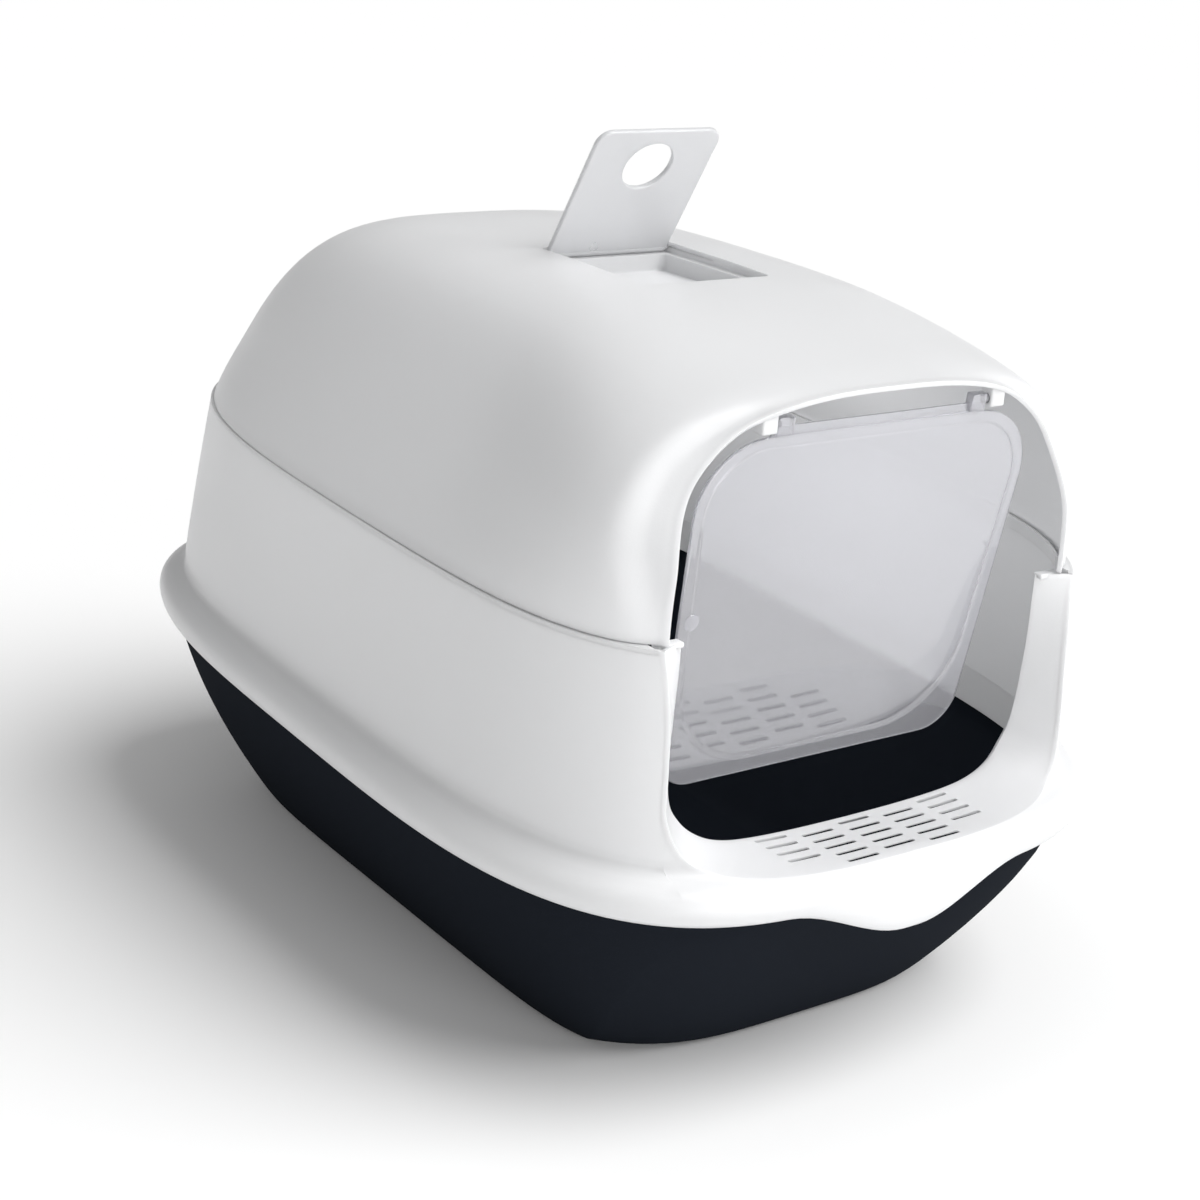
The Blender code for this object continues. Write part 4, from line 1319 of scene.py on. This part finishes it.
@dataclass
class Handle:
    """The fold-down handle: a plate with a finger hole, and its hinge barrel."""

    axis_y: float = 0.0130
    axis_z: float = 0.3644
    lean: float = math.radians(31)
    half_width: float = 0.0397
    length: float = 0.0835
    thick: float = 0.0030
    corner: float = 0.0085
    hole_radius: float = 0.0151
    hole_at: float = 0.0602
    barrel: float = 0.0021
    pin_radius: float = 0.0013
    pin_end: float = 0.0434

    def place(self) -> Matrix:
        """Stands the flat plate on its axis, leaning forwards."""
        return Matrix.Translation((0, self.axis_y, self.axis_z)) @ Matrix.Rotation(math.pi / 2 + self.lean, 4, "X")

    def edge_point(self, angle: float, inset: float) -> tuple[float, float]:
        """Where a ray from the hole's middle meets the plate's rounded outline.

        Args:
            angle: of the ray.
            inset: how far inside the edge the outline lies.

        Returns:
            Its x and y on the flat plate.
        """
        half, far, near, corner = self.half_width - inset, self.length - inset, inset, self.corner
        direction = Vector((math.cos(angle), math.sin(angle)))
        low, high = 0.0, 0.2
        for _ in range(40):
            middle = (low + high) / 2
            x, y = direction.x * middle, self.hole_at + direction.y * middle
            over_x, over_y = abs(x) - (half - corner), y - (far - corner)
            inside = abs(x) <= half and near <= y <= far
            if inside and over_x > 0 and over_y > 0:
                inside = math.hypot(over_x, over_y) <= corner
            low, high = (middle, high) if inside else (low, middle)
        return direction.x * low, self.hole_at + direction.y * low

    def plate(self) -> bpy.types.Object:
        """The plate with its hole.

        Returns:
            The plate.
        """
        count, half, soft = 160, self.thick / 2, 0.0006
        angles = [math.tau * i / count for i in range(count)]
        corners = [math.atan2(-self.hole_at, x) % math.tau for x in (self.half_width, -self.half_width)]
        angles = sorted([a for a in angles if min(abs(a - c) for c in corners) > 0.012] + corners)

        def outer(inset: float, height: float) -> list[Point]:
            """The plate's edge, drawn in by an inset, at a height."""
            return [(*self.edge_point(a, inset), height) for a in angles]

        def inner(grow: float, height: float) -> list[Point]:
            """The hole's edge, grown by a margin, at a height."""
            radius = self.hole_radius + grow
            return [(radius * math.cos(a), self.hole_at + radius * math.sin(a), height) for a in angles]

        rounding = [(0.0, half - soft), (soft * 0.3, half - soft * 0.3), (soft, half), (soft * 1.6, half)]
        rings = [outer(step, height) for step, height in rounding]
        rings += [inner(step, height) for step, height in reversed(rounding)]
        rings += [inner(step, -height) for step, height in rounding]
        rings += [outer(step, -height) for step, height in reversed(rounding)]
        place = self.place()
        skin = Skin()
        skin.loft([[tuple(place @ Vector(point)) for point in ring] for ring in rings])
        return skin.to_object("handle_plate")

    def hinge(self) -> bpy.types.Object:
        """The barrel along the plate's lower edge, with its pins.

        Returns:
            The barrel and pins.
        """
        skin = Skin()
        skin.add_rod(-self.half_width + 0.001, self.half_width - 0.001, self.axis_y, self.axis_z, self.barrel)
        skin.add_rod(-self.pin_end, self.pin_end, self.axis_y, self.axis_z, self.pin_radius)
        skin.face_out()
        return skin.to_object("handle_hinge")

    def build(self) -> None:
        """Builds and dresses the handle."""
        install(self.plate(), Body.HANDLE, HANDLE_MILK, "fold_handle", sharp=60.0)
        install(self.hinge(), Body.HANDLE, HANDLE_MILK)


# ---- studio --------------------------------------------------------------------------------


@dataclass
class Studio:
    """The pale floor, soft lights and camera."""

    sky: float = 0.36
    floor_tone: float = 0.92
    floor_glow: float = 0.05
    camera_place: Point = (-0.71778, -0.97458, 0.58803)
    camera_turn: Point = (70.741, -3.790, -35.153)

    def floor(self) -> None:
        """A wide pale floor."""
        skin = Skin()
        bmesh.ops.create_grid(skin.bm, x_segments=1, y_segments=1, size=40.0)
        floor = skin.to_object("studio_floor")
        paint = bpy.data.materials.new("studio_floor")
        paint.use_nodes = True
        shader = paint.node_tree.nodes["Principled BSDF"]
        shader.inputs["Base Color"].default_value = (self.floor_tone, self.floor_tone, self.floor_tone, 1.0)
        shader.inputs["Roughness"].default_value = 1.0
        shader.inputs["Specular IOR Level"].default_value = 0.0
        shader.inputs["Emission Color"].default_value = (1.0, 1.0, 1.0, 1.0)
        shader.inputs["Emission Strength"].default_value = self.floor_glow
        floor.data.materials.append(paint)

    def place_lamp(self, data: bpy.types.Light, place: Point, target: Point) -> bpy.types.Object:
        """Stands a lamp at a place, aimed at a target.

        Args:
            data: the light.
            place: where it stands.
            target: what it is aimed at.

        Returns:
            The lamp.
        """
        lamp = bpy.data.objects.new(data.name, data)
        lamp.location = place
        lamp.rotation_euler = (Vector(target) - Vector(place)).to_track_quat("-Z", "Y").to_euler()
        bpy.context.scene.collection.objects.link(lamp)
        return lamp

    def soft_box(self, name: str, place: Point, target: Point, size: tuple[float, float], power: float) -> None:
        """A soft rectangular lamp.

        Args:
            name: the lamp's name.
            place: where it stands.
            target: what it is aimed at.
            size: its width and height.
            power: in watts.
        """
        data = bpy.data.lights.new(name, "AREA")
        data.shape, data.size, data.size_y, data.energy = "RECTANGLE", size[0], size[1], power
        self.place_lamp(data, place, target)

    def key(self) -> None:
        """The broad main light from the front right."""
        data = bpy.data.lights.new("key", "SUN")
        data.energy, data.angle = 2.65, math.radians(50)
        self.place_lamp(data, (0.40, -0.45, 0.80), (0.0, 0.0, 0.0))

    def cabin_glow(self) -> None:
        """The light that the thin walls let into the cabin."""
        data = bpy.data.lights.new("cabin_glow", "POINT")
        data.energy, data.shadow_soft_size = 0.62, 0.06
        lamp = self.place_lamp(data, (-0.02, -0.03, 0.265), (0.0, 0.0, 0.0))
        lamp.visible_camera = lamp.visible_glossy = lamp.visible_transmission = False

    def world(self) -> None:
        """An even pale sky, which shows white behind the floor."""
        sky = bpy.data.worlds.new("studio_sky")
        sky.use_nodes = True
        nodes, links = sky.node_tree.nodes, sky.node_tree.links
        glow, backdrop, pick = nodes["Background"], nodes.new("ShaderNodeBackground"), nodes.new("ShaderNodeMixShader")
        glow.inputs["Color"].default_value = (1.0, 1.0, 1.0, 1.0)
        glow.inputs["Strength"].default_value = self.sky
        backdrop.inputs["Color"].default_value = (1.0, 1.0, 1.0, 1.0)
        links.new(nodes.new("ShaderNodeLightPath").outputs["Is Camera Ray"], pick.inputs["Fac"])
        links.new(glow.outputs["Background"], pick.inputs[1])
        links.new(backdrop.outputs["Background"], pick.inputs[2])
        links.new(pick.outputs["Shader"], nodes["World Output"].inputs["Surface"])
        bpy.context.scene.world = sky

    def camera(self) -> None:
        """The camera in front of the left corner, slightly above."""
        data = bpy.data.cameras.new("studio_camera")
        data.sensor_width, data.lens = 36.0, 67.34
        data.clip_start, data.clip_end = 0.01, 50.0
        camera = bpy.data.objects.new("studio_camera", data)
        camera.location = self.camera_place
        camera.rotation_euler = [math.radians(turn) for turn in self.camera_turn]
        bpy.context.scene.collection.objects.link(camera)
        bpy.context.scene.camera = camera

    def build(self) -> None:
        """Sets the whole studio up."""
        self.floor()
        self.world()
        self.key()
        self.soft_box("front_fill", (-0.12, -2.1, 0.42), (0.05, 0.0, 0.20), (1.0, 0.8), 11.0)
        self.cabin_glow()
        self.camera()
        bpy.context.scene.view_settings.view_transform = "Standard"


def main() -> None:
    """Builds every assembly in order, then the studio."""
    for assembly in (Tray(), LowerHood(), UpperHood(), Flap(), Handle(), Studio()):
        assembly.build()
        log.info("%s done", type(assembly).__name__)


if __name__ == "__main__":
    main()
